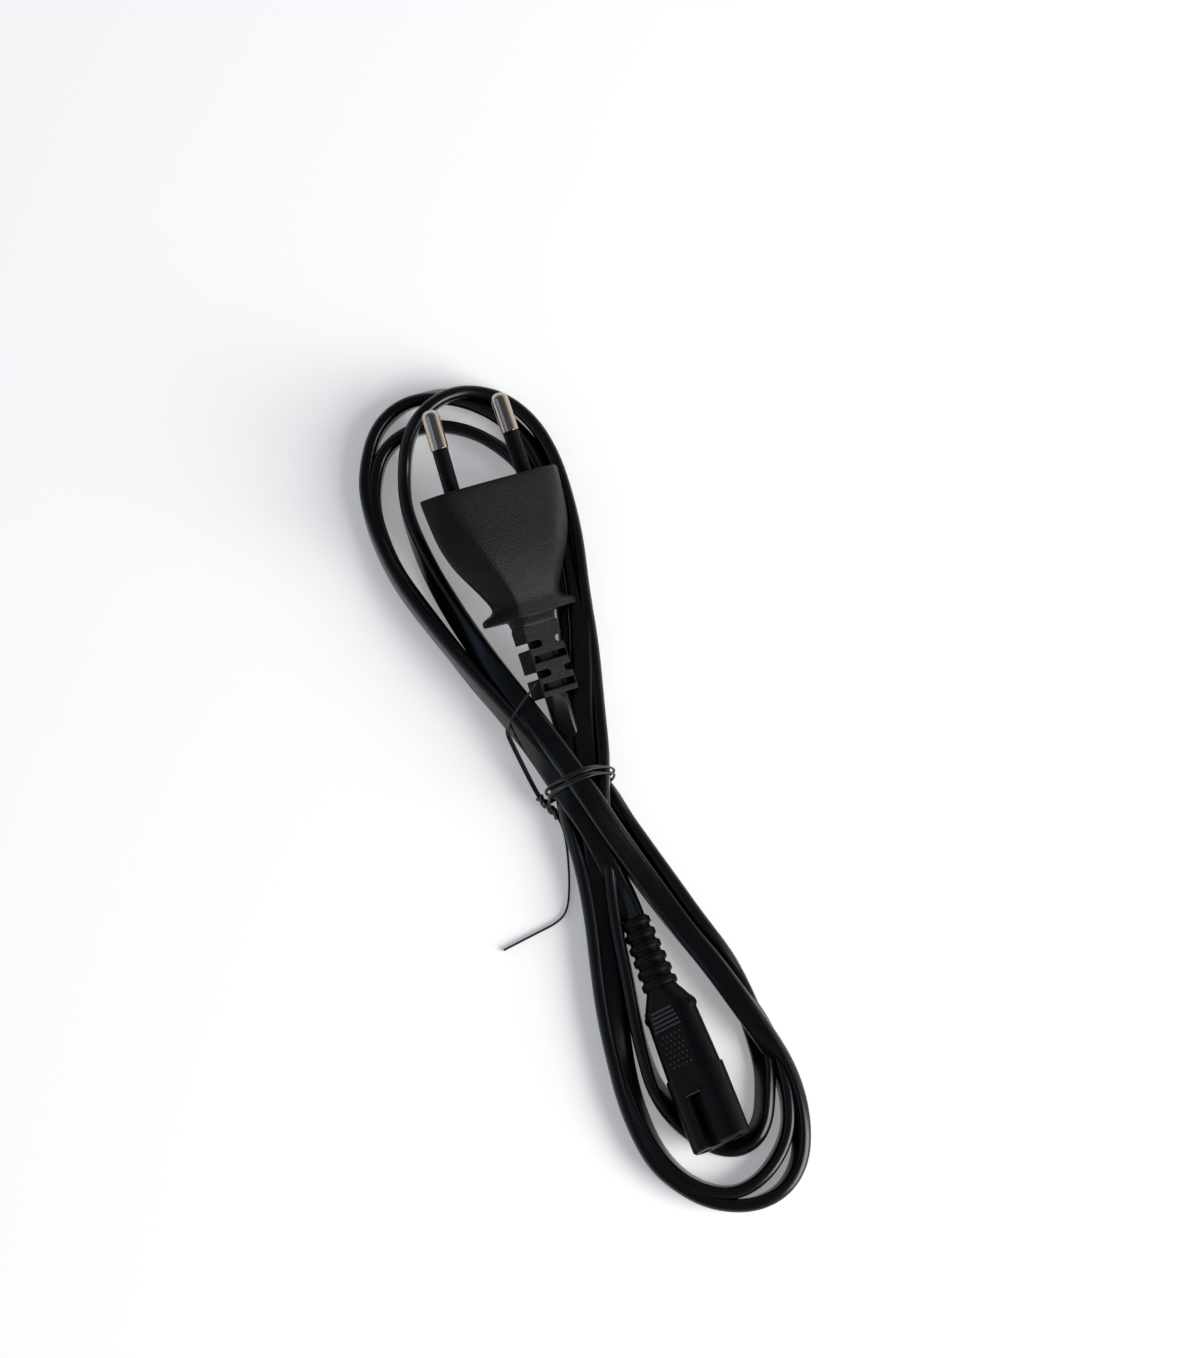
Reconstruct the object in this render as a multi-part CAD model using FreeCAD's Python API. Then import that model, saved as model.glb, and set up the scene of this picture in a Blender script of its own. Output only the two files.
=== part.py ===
import FreeCAD, Part
import math
import os

from FreeCAD import Placement, Rotation, Vector

# A mains lead with a figure-eight power connector, a flat two-pin plug and its flat twin cord,
# folded into a hank of six loops that a twist tie holds. Millimetres, +Z up, the floor is z = 0.
# The origin is on the floor below the middle of the connector, and +Y runs from mouth to tail.

# Flat twin cord
CORD_WIDTH = 5.3
CORD_THICKNESS = 2.9
CORE_DIAMETER = 2.0
CORE_SPACING = 2.4
SHEATH_INSIDE = 12.5            # sheathed cord held inside each strain relief
ARC_SHARE = 0.45                # share of the shorter run that an arc takes
MITRED = 1                      # kind of corner that a sweep makes

# Connector, from its mouth face back to its collar
NOSE_LENGTH = 16.6
NOSE_WIDTH = 14.2
NOSE_HEIGHT = 7.5
NOSE_EDGE = 0.4                 # bevel round the mouth face
GROOVE_LENGTH = 11.7
GROOVE_WIDTH = 3.0
GROOVE_DEPTH = 1.9
LIP_LENGTH = 0.9
LIP_WIDTH = 3.8
LIP_RISE = 0.35
GRIP_LENGTH = 15.7
GRIP_WIDTH = 13.3
GRIP_REAR_WIDTH = 12.0
GRIP_HEIGHT = 6.8
PANEL_WIDTH = 7.2
PANEL_HEIGHT = 7.9
PANEL_LENGTH = 9.9
BAR_COUNT = 5
BAR_PITCH = 1.0
BAR_LENGTH = 0.5
FIRST_BAR_WIDTH = 7.0
LAST_BAR_WIDTH = 5.4
BAR_HEIGHT = 7.6
NUB_RADIUS = 1.5
NUB_RISE = 0.5
NUB_HEIGHT = 3.0
NUB_EDGE = 0.5
NUB_SETBACK = 1.5
SHOULDER_LENGTH = 4.2
SHOULDER_STEP = 0.15
RELIEF_CORE_WALL = 0.65
RING_COUNT = 6
RING_PITCH = 2.88
RING_LENGTH = 1.9
RING_EDGE = 0.4                 # bevel that rounds each ring
FIRST_RING_WIDTH = 8.3
LAST_RING_WIDTH = 6.9
RING_FLATNESS = 0.84            # ring height over ring width

# Contacts and the hard carrier that holds them
CONTACT_SPACING = 8.6
CONTACT_BORE = 2.45
CONTACT_WALL = 0.35
CONTACT_SLIT = 0.4
CONTACT_SETBACK = 1.0
CONTACT_LENGTH = 12.0
CRIMP_LENGTH = 4.0
CORE_LEAD_IN = 2.0              # straight wire behind each crimp
ENTRY_BORE = 2.8
CARRIER_WALL = 0.5
CARRIER_WEB = 2.2
CARRIER_LENGTH = 14.0

# Plug, from its pin face back to its collar: distance, width, width of the flat, height
PLUG_STATIONS = [
    (0.0, 35.0, 25.0, 11.4),
    (0.8, 35.3, 25.2, 11.9),
    (4.2, 34.4, 24.2, 12.1),
    (9.9, 33.2, 21.6, 12.3),
    (16.8, 28.2, 16.8, 12.4),
    (23.0, 20.8, 12.2, 11.6),
    (27.8, 16.4, 9.6, 10.2),
]
PLUG_TIP = 2.2                  # height of the flat along the plug's side edges
WING_START = 29.2
WING_LENGTH = 1.7
WING_SPAN = 23.0
WING_EDGE = 0.4
FLARE_INSET = 2.4               # the flare ends narrower than the wings by this
FLARE_RISE = 0.9                # growth of the flare half-way to the wings
NECK_WIDTH = 10.8
NECK_FLAT = 6.6
NECK_LENGTH = 1.9
RELIEF_WIDTH = 8.8
RELIEF_FLAT = 8.0
RELIEF_HEIGHT = 6.4
RELIEF_SIDE = 5.6               # height of the relief's upright sides
RELIEF_LENGTH = 16.2
NOTCH_COUNT = 4
NOTCH_START = 3.7
NOTCH_PITCH = 3.45
NOTCH_LENGTH = 1.6
NOTCH_FLOOR = 0.25              # skin left over the cord at each notch
POCKET_WIDTH = 7.2
PIN_SPACING = 18.6
PIN_DIAMETER = 4.0
PIN_LENGTH = 19.0
PIN_LEAN = 1.6                  # degrees that each pin leans towards the other
PIN_STEM = 2.6
PIN_ROOT = 9.0                  # length of stem inside the plug
SLEEVE_DIAMETER = 3.6
SLEEVE_LENGTH = 10.0
SLEEVE_ROOT = 1.6
BRIDGE_WIDTH = 25.6
BRIDGE_HEIGHT = 6.6
BRIDGE_LENGTH = 7.0
PLUG_LEAD_IN = 3.0              # straight wire behind each pin

# How the connector and the plug lie: degrees, and the plug's face centre
CONNECTOR_ROLL = -32.0
CONNECTOR_PITCH = -7.2
PLUG_ROLL = 24.0
PLUG_PITCH = 9.1
PLUG_YAW = -3.2
PLUG_FACE_AT = Vector(4.3, 127.8, 14.6)

# Hank: outlines of the loops seen from above, and how high they lie
REST_CLEARANCE = 0.3
HANK_OUTLINE = [
    (6.6, 53.6), (8.6, 64.9), (14.2, 85.9), (21.8, 117.6), (21.4, 139.7), (10.8, 154.4), (-6.6, 158.0),
    (-21.4, 146.6), (-25.0, 124.9), (-18.0, 95.2), (-9.0, 70.9), (-5.8, 54.3), (-9.4, 33.5),
    (-15.2, 10.0), (-17.8, -10.3), (-14.0, -30.0), (-3.0, -42.6), (9.2, -42.8), (18.8, -32.8),
    (21.5, -13.5), (13.9, 22.1),
]
UPPER_OPENING = [
    (-10.9, 140.1), (-3.8, 145.4), (4.7, 142.1), (10.8, 132.7), (13.6, 120.7), (12.0, 106.4),
    (6.9, 88.7), (-0.2, 70.7), (-6.0, 88.3), (-12.6, 110.9), (-13.9, 128.8),
]
LOWER_OPENING = [
    (0.8, 37.4), (5.9, 22.9), (11.1, 6.0), (14.2, -8.5), (10.4, -21.0), (3.5, -25.5),
    (-2.8, -20.6), (-6.6, -7.5), (-6.5, 8.0), (-4.6, 25.5),
]
LEFT_TOP = [
    (-50.0, 5.3), (22.0, 5.3), (35.0, 6.5), (48.0, 9.6), (60.0, 11.0), (70.0, 9.8), (88.0, 9.2),
    (102.0, 7.2), (116.0, 5.4), (134.0, 5.6), (146.0, 10.4), (152.0, 9.6), (160.0, 6.0),
]
RIGHT_TOP = [
    (-50.0, 5.3), (-20.0, 5.3), (-8.0, 6.6), (3.0, 8.0), (12.0, 7.6), (21.0, 5.8), (32.0, 6.6),
    (48.0, 10.4), (60.0, 10.6), (72.0, 7.0), (88.0, 5.6), (160.0, 5.3),
]
HANK_SPAN = 60.0                # half-width that covers the hank on each side
HANK_PARTING_X = -0.6           # where the heights change from the left side's to the right side's
WAIST_Y = (50.0, 64.0)
WAIST_WIDTH = 13.6
WAIST_HEIGHT = 11.6
WAIST_CENTRE_X = 0.5
WAIST_CORNER = 3.6

# Leads: how far each runs straight on out of its strain relief, to end in the hank
CONNECTOR_LEAD_STRAIGHT = 8.0
PLUG_LEAD_STRAIGHT = 10.0

# Twist tie: a flat ribbon wound round the waist, with two loose ends
TIE_WIDTH = 1.6
TIE_THICKNESS = 0.5
TIE_SINK = 0.25                 # depth that the ribbon bites into the hank
TIE_TURNS_Y = (54.9, 57.6)
TIE_TURN_LEAN = 3.0
KNOT_DIAMETER = 2.4
KNOT_HEIGHT = 3.8               # height of the knot's middle above the floor
FLOOR_TAIL = [
    (-7.2, 57.0, 3.4), (-9.6, 53.4, 1.5), (-10.0, 46.5, 0.45), (-11.6, 39.4, 0.4), (-15.4, 32.2, 0.4),
    (-22.0, 30.2, 0.4), (-29.5, 29.3, 0.35),
]
RAISED_TAIL = [
    (-7.2, 57.4, 4.4), (-10.4, 59.2, 4.4), (-12.0, 64.2, 5.4), (-12.6, 70.4, 8.0), (-10.4, 76.0, 11.0),
    (-5.6, 79.4, 12.1), (-0.8, 81.9, 12.6),
]

GRIP_END = NOSE_LENGTH + GRIP_LENGTH
SHOULDER_END = GRIP_END + SHOULDER_LENGTH
CONNECTOR_LENGTH = SHOULDER_END + (RING_COUNT - 1) * RING_PITCH + RING_LENGTH
WING_END = WING_START + WING_LENGTH
NECK_END = WING_END + NECK_LENGTH
PLUG_LENGTH = NECK_END + RELIEF_LENGTH


def slot_wire(width, height, y):
    """Slot outline with round ends, in the plane across the piece at y."""
    r = height / 2
    c = width / 2 - r
    top = Part.LineSegment(Vector(-c, y, r), Vector(c, y, r)).toShape()
    right = Part.Arc(Vector(c, y, r), Vector(c + r, y, 0), Vector(c, y, -r)).toShape()
    bottom = Part.LineSegment(Vector(c, y, -r), Vector(-c, y, -r)).toShape()
    left = Part.Arc(Vector(-c, y, -r), Vector(-c - r, y, 0), Vector(-c, y, r)).toShape()
    return Part.Wire([top, right, bottom, left])


def slot_bar(width, height, y0, y1):
    return Part.Face(slot_wire(width, height, y0)).extrude(Vector(0, y1 - y0, 0))


def tapered_slot(front_width, rear_width, height, y0, y1):
    """Slot bar of even height whose round sides run straight from one width to the other."""
    r = height / 2
    front = front_width / 2 - r
    rear = rear_width / 2 - r
    plan = [Vector(-front, y0, -r), Vector(front, y0, -r), Vector(rear, y1, -r), Vector(-rear, y1, -r)]
    bar = Part.Face(Part.makePolygon(plan + plan[:1])).extrude(Vector(0, 0, height))
    span = block(2 * front_width, 2 * height, y0, y1)
    for side in (-1, 1):
        along = Vector(side * (rear - front), y1 - y0, 0)
        start = Vector(side * front, y0, 0) - along * 0.2
        bar = bar.fuse(Part.makeCylinder(r, 1.4 * along.Length, start, along).common(span))
    return bar


def slot_loft(sections):
    return Part.makeLoft([slot_wire(*section) for section in sections], True, True)


def block(width, height, y0, y1, x=0.0, z=0.0):
    """Box of a width and height centred on (x, z), from y0 to y1."""
    return Part.makeBox(width, y1 - y0, height, Vector(x - width / 2, y0, z - height / 2))


def rod(diameter, y0, y1, x=0.0):
    return Part.makeCylinder(diameter / 2, y1 - y0, Vector(x, y0, 0), Vector(0, 1, 0))


def one(shape):
    """The single clean solid of a boolean result."""
    return shape.removeSplitter().Solids[0]


def corner_arc(before, corner, after):
    """Tangent arc at a corner, as large as its two runs allow: start, middle, end."""
    run_in = corner - before
    run_out = after - corner
    setback = ARC_SHARE * min(run_in.Length, run_out.Length)
    half_turn = run_in.getAngle(run_out) / 2
    radius = setback / math.tan(half_turn)
    run_in.normalize()
    run_out.normalize()
    inward = run_out - run_in
    inward.normalize()
    middle = corner + inward * (radius / math.cos(half_turn) - radius)
    return corner - run_in * setback, middle, corner + run_out * setback


def rounded_path(points):
    """Straight runs joined by tangent arcs."""
    edges = []
    here = points[0]
    for before, corner, after in zip(points, points[1:], points[2:]):
        start, middle, end = corner_arc(before, corner, after)
        edges.append(Part.LineSegment(here, start).toShape())
        edges.append(Part.Arc(start, middle, end).toShape())
        here = end
    edges.append(Part.LineSegment(here, points[-1]).toShape())
    return Part.Wire(edges)


def rounded_loop(plan_points):
    """Closed outline on the floor with every corner rounded."""
    points = [Vector(x, y, 0) for x, y in plan_points]
    count = len(points)
    arcs = [corner_arc(points[i - 1], points[i], points[(i + 1) % count]) for i in range(count)]
    edges = []
    for i, (start, middle, end) in enumerate(arcs):
        edges.append(Part.Arc(start, middle, end).toShape())
        edges.append(Part.LineSegment(end, arcs[(i + 1) % count][0]).toShape())
    return Part.Wire(edges)


def swept(path, section):
    """Solid of one section along a path of runs and arcs."""
    return path.makePipeShell([section], True, False)


def wire_core(start_x, start_y, end_x, end_y, straight):
    """Insulated core from a terminal to the end of the cord's sheath."""
    sign = 1 if end_y > start_y else -1
    points = [
        Vector(start_x, start_y, 0),
        Vector(start_x, start_y + sign * straight, 0),
        Vector(end_x, end_y - sign * straight, 0),
        Vector(end_x, end_y, 0),
    ]
    path = Part.makePolygon(points)
    ring = Part.Wire(Part.makeCircle(CORE_DIAMETER / 2, points[0], Vector(0, 1, 0)))
    return path.makePipeShell([ring], True, False, MITRED)


# Connector


def contact(side):
    """Slit tube that grips a pin, with the crimp barrel behind it."""
    x = side * CONTACT_SPACING / 2
    outer = CONTACT_BORE + 2 * CONTACT_WALL
    tube_end = CONTACT_SETBACK + CONTACT_LENGTH
    tube = rod(outer, CONTACT_SETBACK, tube_end + CRIMP_LENGTH, x)
    socket = rod(CONTACT_BORE, CONTACT_SETBACK, tube_end, x)
    crimp_bore = rod(CORE_DIAMETER, tube_end + 1.0, tube_end + CRIMP_LENGTH, x)
    slit = block(outer / 2 + 1, CONTACT_SLIT, CONTACT_SETBACK, tube_end - 2.0, x - side * (outer / 4 + 0.5))
    return one(tube.cut(socket).cut(crimp_bore).cut(slit))


def carrier_blank():
    tube = CONTACT_BORE + 2 * CONTACT_WALL + 2 * CARRIER_WALL
    left = rod(tube, 0, CARRIER_LENGTH, -CONTACT_SPACING / 2)
    right = rod(tube, 0, CARRIER_LENGTH, CONTACT_SPACING / 2)
    return left.fuse(right).fuse(block(CONTACT_SPACING, CARRIER_WEB, 0, CARRIER_LENGTH))


def contact_carrier():
    """Hard insert with a hole for each pin and a seat for each contact."""
    carrier = carrier_blank()
    for side in (-1, 1):
        x = side * CONTACT_SPACING / 2
        carrier = carrier.cut(rod(ENTRY_BORE, 0, CONTACT_SETBACK, x))
        carrier = carrier.cut(rod(CONTACT_BORE + 2 * CONTACT_WALL, CONTACT_SETBACK, CARRIER_LENGTH, x))
    return one(carrier)


def connector_core(side):
    start = CONTACT_SETBACK + CONTACT_LENGTH + 1.0
    x = side * CONTACT_SPACING / 2
    end = CONNECTOR_LENGTH - SHEATH_INSIDE
    return wire_core(x, start, side * CORE_SPACING / 2, end, CRIMP_LENGTH + CORE_LEAD_IN)


def nose():
    bar = slot_bar(NOSE_WIDTH, NOSE_HEIGHT, 0, NOSE_LENGTH)
    return bevelled_ends(bar, NOSE_EDGE, [0])


def bevelled_ends(bar, size, ends):
    """Bar with the whole outline of its end faces bevelled, at each of these places along Y."""
    edges = []
    for edge in bar.Edges:
        box = edge.BoundBox
        if box.YLength < size / 2 and min(abs(box.Center.y - end) for end in ends) < size / 2:
            edges.append(edge)
    return bar.makeChamfer(size, edges)


def ring_width(index):
    step = (FIRST_RING_WIDTH - LAST_RING_WIDTH) / (RING_COUNT - 1)
    return FIRST_RING_WIDTH - step * index


def strain_relief_rings():
    rings = []
    for index in range(RING_COUNT):
        start = SHOULDER_END + index * RING_PITCH
        width = ring_width(index)
        ring = slot_bar(width, width * RING_FLATNESS, start, start + RING_LENGTH)
        rings.append(bevelled_ends(ring, RING_EDGE, [start, start + RING_LENGTH]))
    return rings


def strain_relief_core():
    wall = 2 * RELIEF_CORE_WALL
    first = (FIRST_RING_WIDTH - wall, FIRST_RING_WIDTH * RING_FLATNESS - wall, SHOULDER_END)
    last = (LAST_RING_WIDTH - wall, LAST_RING_WIDTH * RING_FLATNESS - wall, CONNECTOR_LENGTH)
    return slot_loft([first, last])


def grip():
    """Rear body with its raised panels, grip bars, nubs and shoulder."""
    body = tapered_slot(GRIP_WIDTH, GRIP_REAR_WIDTH, GRIP_HEIGHT, NOSE_LENGTH, GRIP_END)
    neck_width = FIRST_RING_WIDTH - 2 * RELIEF_CORE_WALL
    neck_height = FIRST_RING_WIDTH * RING_FLATNESS - 2 * RELIEF_CORE_WALL
    shoulder = slot_loft([
        (GRIP_REAR_WIDTH - 2 * SHOULDER_STEP, GRIP_HEIGHT - 2 * SHOULDER_STEP, GRIP_END),
        (neck_width, neck_height, SHOULDER_END),
    ])
    panel_end = NOSE_LENGTH + PANEL_LENGTH
    pieces = [shoulder, block(PANEL_WIDTH, PANEL_HEIGHT, NOSE_LENGTH, panel_end)]
    narrowing = (FIRST_BAR_WIDTH - LAST_BAR_WIDTH) / (BAR_COUNT - 1)
    for index in range(BAR_COUNT):
        start = panel_end + BAR_PITCH * (index + 1) - BAR_LENGTH
        width = FIRST_BAR_WIDTH - narrowing * index
        pieces.append(block(width, BAR_HEIGHT, start, start + BAR_LENGTH))
    return body.fuse(pieces + [nub(side) for side in (-1, 1)])


def nub(side):
    """Small round boss on each side of the shoulder."""
    x = side * (GRIP_REAR_WIDTH / 2 + NUB_RISE - NUB_RADIUS)
    foot = Vector(x, GRIP_END - NUB_SETBACK, -NUB_HEIGHT / 2)
    boss = Part.makeCylinder(NUB_RADIUS, NUB_HEIGHT, foot)
    rims = [edge for edge in boss.Edges if edge.BoundBox.ZLength < NUB_EDGE]
    return boss.makeChamfer(NUB_EDGE, rims)


def connector_body():
    """Soft overmould with the grooves that give the mouth its figure-eight face."""
    body = nose().fuse([grip(), strain_relief_core()] + strain_relief_rings())
    floor = NOSE_HEIGHT / 2 - GROOVE_DEPTH
    for side in (-1, 1):
        groove = block(GROOVE_WIDTH, NOSE_HEIGHT, 0, GROOVE_LENGTH, z=side * (floor + NOSE_HEIGHT / 2))
        body = body.cut(groove)
    lip_height = NOSE_HEIGHT + 2 * LIP_RISE
    body = body.fuse(block(LIP_WIDTH, lip_height, GROOVE_LENGTH, GROOVE_LENGTH + LIP_LENGTH))
    body = body.cut(carrier_blank())
    crimp = CONTACT_BORE + 2 * CONTACT_WALL
    crimp_end = CONTACT_SETBACK + CONTACT_LENGTH + CRIMP_LENGTH
    for side in (-1, 1):
        body = body.cut(rod(crimp, CONTACT_SETBACK, crimp_end, side * CONTACT_SPACING / 2))
        body = body.cut(connector_core(side))
    body = body.cut(slot_bar(CORD_WIDTH, CORD_THICKNESS, CONNECTOR_LENGTH - SHEATH_INSIDE, CONNECTOR_LENGTH))
    return one(body)


def connector_envelope():
    """Plain outside of the connector grown by the clearance, to press into the hank."""
    grow = 2 * REST_CLEARANCE
    front = slot_bar(NOSE_WIDTH + grow, PANEL_HEIGHT + grow, -REST_CLEARANCE, GRIP_END)
    tail = slot_loft([
        (GRIP_REAR_WIDTH + grow, PANEL_HEIGHT + grow, GRIP_END),
        (FIRST_RING_WIDTH + grow, FIRST_RING_WIDTH * RING_FLATNESS + grow, SHOULDER_END),
        (LAST_RING_WIDTH + grow, LAST_RING_WIDTH * RING_FLATNESS + grow, CONNECTOR_LENGTH + REST_CLEARANCE),
    ])
    return front.fuse(tail)


def connector_placement():
    """The connector's attitude, with its underside's middle on the origin."""
    turn = Rotation(Vector(1, 0, 0), CONNECTOR_PITCH) * Rotation(Vector(0, 1, 0), CONNECTOR_ROLL)
    body = placed(connector_body(), Placement(Vector(), turn))
    box = body.optimalBoundingBox(False)
    return Placement(Vector(-box.Center.x, -box.Center.y, -box.ZMin), turn)


# Plug


def plug_section(y, width, flat, height, grow=0.0, side=PLUG_TIP):
    """Flat top and foot, sloping facets, and a narrow upright side along each edge."""
    w = width / 2 + grow
    t = side / 2
    f = flat / 2 + grow / 2
    h = height / 2 + grow
    corners = [(-w, -t), (-w, t), (-f, h), (f, h), (w, t), (w, -t), (f, -h), (-f, -h)]
    points = [Vector(x, y, z) for x, z in corners]
    return Part.makePolygon(points + points[:1])


def plug_loft(grow=0.0):
    """Front body, which narrows to a waist ahead of the wings."""
    sections = [plug_section(-y, w, f, h, grow) for y, w, f, h in PLUG_STATIONS]
    front = Part.makeLoft(sections[:3], True, True)
    rear = Part.makeLoft(sections[2:], True, False)
    return front.fuse(rear)


def plug_flare(grow=0.0):
    """Concave sweep of both sides from the waist out to the wings, under one flat top."""
    waist_y, waist, flat, height = PLUG_STATIONS[-1]
    middle = (waist_y + WING_START) / 2
    sections = [
        plug_section(-waist_y, waist, flat, height, grow),
        plug_section(-middle, waist + FLARE_RISE, flat, height, grow),
        plug_section(-WING_START, WING_SPAN - FLARE_INSET, flat, height, grow),
    ]
    return Part.makeLoft(sections, True, True)


def plug_wings(grow=0.0):
    """Finger grips: the plug's own section, drawn out to both sides, with bevelled edges."""
    flat, height = PLUG_STATIONS[-1][2:]
    section = plug_section(-WING_START + grow, WING_SPAN, flat, height, grow)
    plate = Part.Face(section).extrude(Vector(0, -WING_LENGTH - 2 * grow, 0))
    if grow:
        return plate
    slopes = []
    for edge in plate.Edges:
        box = edge.BoundBox
        if box.XLength > flat / 4 and box.ZLength > WING_EDGE:
            slopes.append(edge)
    return plate.makeChamfer(WING_EDGE, slopes)


def plug_tail(grow=0.0):
    """Neck behind the wings and the square strain relief."""
    height = PLUG_STATIONS[-1][3]
    relief_start = plug_section(-NECK_END, RELIEF_WIDTH, RELIEF_FLAT, RELIEF_HEIGHT, grow, RELIEF_SIDE)
    neck = Part.makeLoft([plug_section(-WING_END, NECK_WIDTH, NECK_FLAT, height, grow), relief_start], True, True)
    return [neck, Part.Face(relief_start).extrude(Vector(0, -RELIEF_LENGTH - grow, 0))]


def relief_notches():
    """Side notches and top pockets by turns, cut down to a thin skin over the cord."""
    notches = []
    side_floor = CORD_WIDTH / 2 + NOTCH_FLOOR
    top_floor = CORD_THICKNESS / 2 + NOTCH_FLOOR
    for index in range(NOTCH_COUNT):
        front = -NECK_END - NOTCH_START - index * NOTCH_PITCH
        for side in (-1, 1):
            if index % 2 == 0:
                x = side * (side_floor + RELIEF_WIDTH / 2)
                notches.append(block(RELIEF_WIDTH, RELIEF_HEIGHT, front - NOTCH_LENGTH, front, x))
            else:
                z = side * (top_floor + RELIEF_HEIGHT / 2)
                notches.append(block(POCKET_WIDTH, RELIEF_HEIGHT, front - NOTCH_LENGTH, front, z=z))
    return notches


def bridge_blank():
    return slot_bar(BRIDGE_WIDTH, BRIDGE_HEIGHT, -BRIDGE_LENGTH, 0)


def pin_turn(side):
    """Pins lean towards each other, about their roots in the face."""
    lean = Rotation(Vector(0, 0, 1), side * PIN_LEAN)
    return Placement(Vector(side * PIN_SPACING / 2, 0, 0), lean)


def pin_stem():
    return rod(PIN_STEM, -PIN_ROOT, SLEEVE_LENGTH)


def pin_sleeve_blank():
    return rod(SLEEVE_DIAMETER, -SLEEVE_ROOT, SLEEVE_LENGTH)


def plug_pin(side):
    """Round pin: thick metal tip, thinner stem under the sleeve and into the plug."""
    tip = rod(PIN_DIAMETER, SLEEVE_LENGTH, PIN_LENGTH)
    end_edge = [edge for edge in tip.Edges if edge.BoundBox.YMin > PIN_LENGTH - 0.1]
    tip = tip.makeFillet(PIN_DIAMETER * 0.4, end_edge)
    return placed(one(tip.fuse(pin_stem())), pin_turn(side))


def pin_sleeve(side):
    return placed(pin_sleeve_blank().cut(pin_stem()), pin_turn(side))


def pin_bridge():
    """Hard insert that holds both pins, flush with the plug's face."""
    bridge = bridge_blank()
    for side in (-1, 1):
        bridge = bridge.cut(placed(pin_stem().fuse(pin_sleeve_blank()), pin_turn(side)))
    return one(bridge)


def plug_core(side):
    """Core from the pin's root to the sheath's end; it starts on the pin's own axis."""
    root = pin_turn(side).multVec(Vector(0, -PIN_ROOT, 0))
    end_y = -PLUG_LENGTH + SHEATH_INSIDE
    core = wire_core(root.x, root.y, side * CORE_SPACING / 2, end_y, PLUG_LEAD_IN)
    return core.cut(placed(pin_stem(), pin_turn(side)))


def plug_body():
    """Overmould of the plug with its wings and notched strain relief."""
    body = plug_loft().fuse([plug_flare(), plug_wings()] + plug_tail())
    body = body.cut(relief_notches())
    body = body.cut(bridge_blank())
    for side in (-1, 1):
        body = body.cut(placed(pin_stem(), pin_turn(side)))
        body = body.cut(plug_core(side))
    body = body.cut(slot_bar(CORD_WIDTH, CORD_THICKNESS, -PLUG_LENGTH, -PLUG_LENGTH + SHEATH_INSIDE))
    return one(body)


def plug_envelope():
    """Plain outside of the plug grown by the clearance, to press into the hank."""
    grow = REST_CLEARANCE
    return plug_loft(grow).fuse([plug_flare(grow), plug_wings(grow)] + plug_tail(grow))


def plug_placement():
    yaw = Rotation(Vector(0, 0, 1), PLUG_YAW)
    pitch = Rotation(Vector(1, 0, 0), PLUG_PITCH)
    roll = Rotation(Vector(0, 1, 0), PLUG_ROLL)
    return Placement(PLUG_FACE_AT, yaw * pitch * roll)


# Hank, leads and tie


def placed(shape, placement):
    return shape.transformed(placement.toMatrix())


def side_profile(tops, x0, x1):
    """Everything between x0 and x1 that lies below a line of heights along Y."""
    corners = [(tops[0][0], 0.0)] + tops + [(tops[-1][0], 0.0)]
    points = [Vector(x0, y, z) for y, z in corners]
    return Part.Face(Part.makePolygon(points + points[:1])).extrude(Vector(x1 - x0, 0, 0))


def waist_section(inset, y, lift=0.0):
    """Rounded outline of the bundle at the tie, moved inwards by an inset, its foot lifted."""
    x0 = WAIST_CENTRE_X - WAIST_WIDTH / 2 + inset
    x1 = WAIST_CENTRE_X + WAIST_WIDTH / 2 - inset
    z0 = inset + lift
    z1 = WAIST_HEIGHT - inset
    r = WAIST_CORNER - inset
    k = r * (1 - math.sqrt(0.5))
    stops = [
        ((x0 + r, z1), (x1 - r, z1), (x1 - k, z1 - k)),
        ((x1, z1 - r), (x1, z0 + r), (x1 - k, z0 + k)),
        ((x1 - r, z0), (x0 + r, z0), (x0 + k, z0 + k)),
        ((x0, z0 + r), (x0, z1 - r), (x0 + k, z1 - k)),
    ]
    edges = []
    for index, (start, end, middle) in enumerate(stops):
        following = stops[(index + 1) % len(stops)][0]
        line = [Vector(x, y, z) for x, z in (start, end)]
        arc = [Vector(x, y, z) for x, z in (end, middle, following)]
        edges.append(Part.LineSegment(*line).toShape())
        edges.append(Part.Arc(*arc).toShape())
    return Part.Wire(edges)


def loops_blank():
    """Loops as one plate with both openings, cut to the height of the strands."""
    plan = Part.Face([rounded_loop(HANK_OUTLINE), rounded_loop(UPPER_OPENING), rounded_loop(LOWER_OPENING)])
    plan.validate()
    plate = plan.extrude(Vector(0, 0, 2 * WAIST_HEIGHT))
    left = side_profile(LEFT_TOP, -HANK_SPAN, HANK_PARTING_X)
    right = side_profile(RIGHT_TOP, HANK_PARTING_X, HANK_SPAN)
    return plate.common(left.fuse(right))


def cord_hank(envelopes):
    """Outer shape of the loops and the bundle, clear of the connector and the plug."""
    y0, y1 = WAIST_Y
    slab = Part.makeBox(2 * HANK_SPAN, y1 - y0, 2 * WAIST_HEIGHT, Vector(-HANK_SPAN, y0, 0))
    waist = Part.Face(waist_section(0, y0)).extrude(Vector(0, y1 - y0, 0))
    hank = loops_blank().cut(slab).fuse(waist)
    return one(hank.cut(envelopes + tie_turns() + [knot()]))


def ribbon_turn(y):
    """One turn of the ribbon round the waist, half sunk in its surface and flat on the floor."""
    proud = TIE_THICKNESS - TIE_SINK
    outer = Part.Face(waist_section(-proud, 0, proud)).extrude(Vector(0, TIE_WIDTH, 0))
    inner = Part.Face(waist_section(TIE_SINK, 0, proud)).extrude(Vector(0, TIE_WIDTH, 0))
    return placed(outer.cut(inner), Placement(Vector(0, y, 0), Rotation(Vector(0, 0, 1), TIE_TURN_LEAN)))


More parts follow.
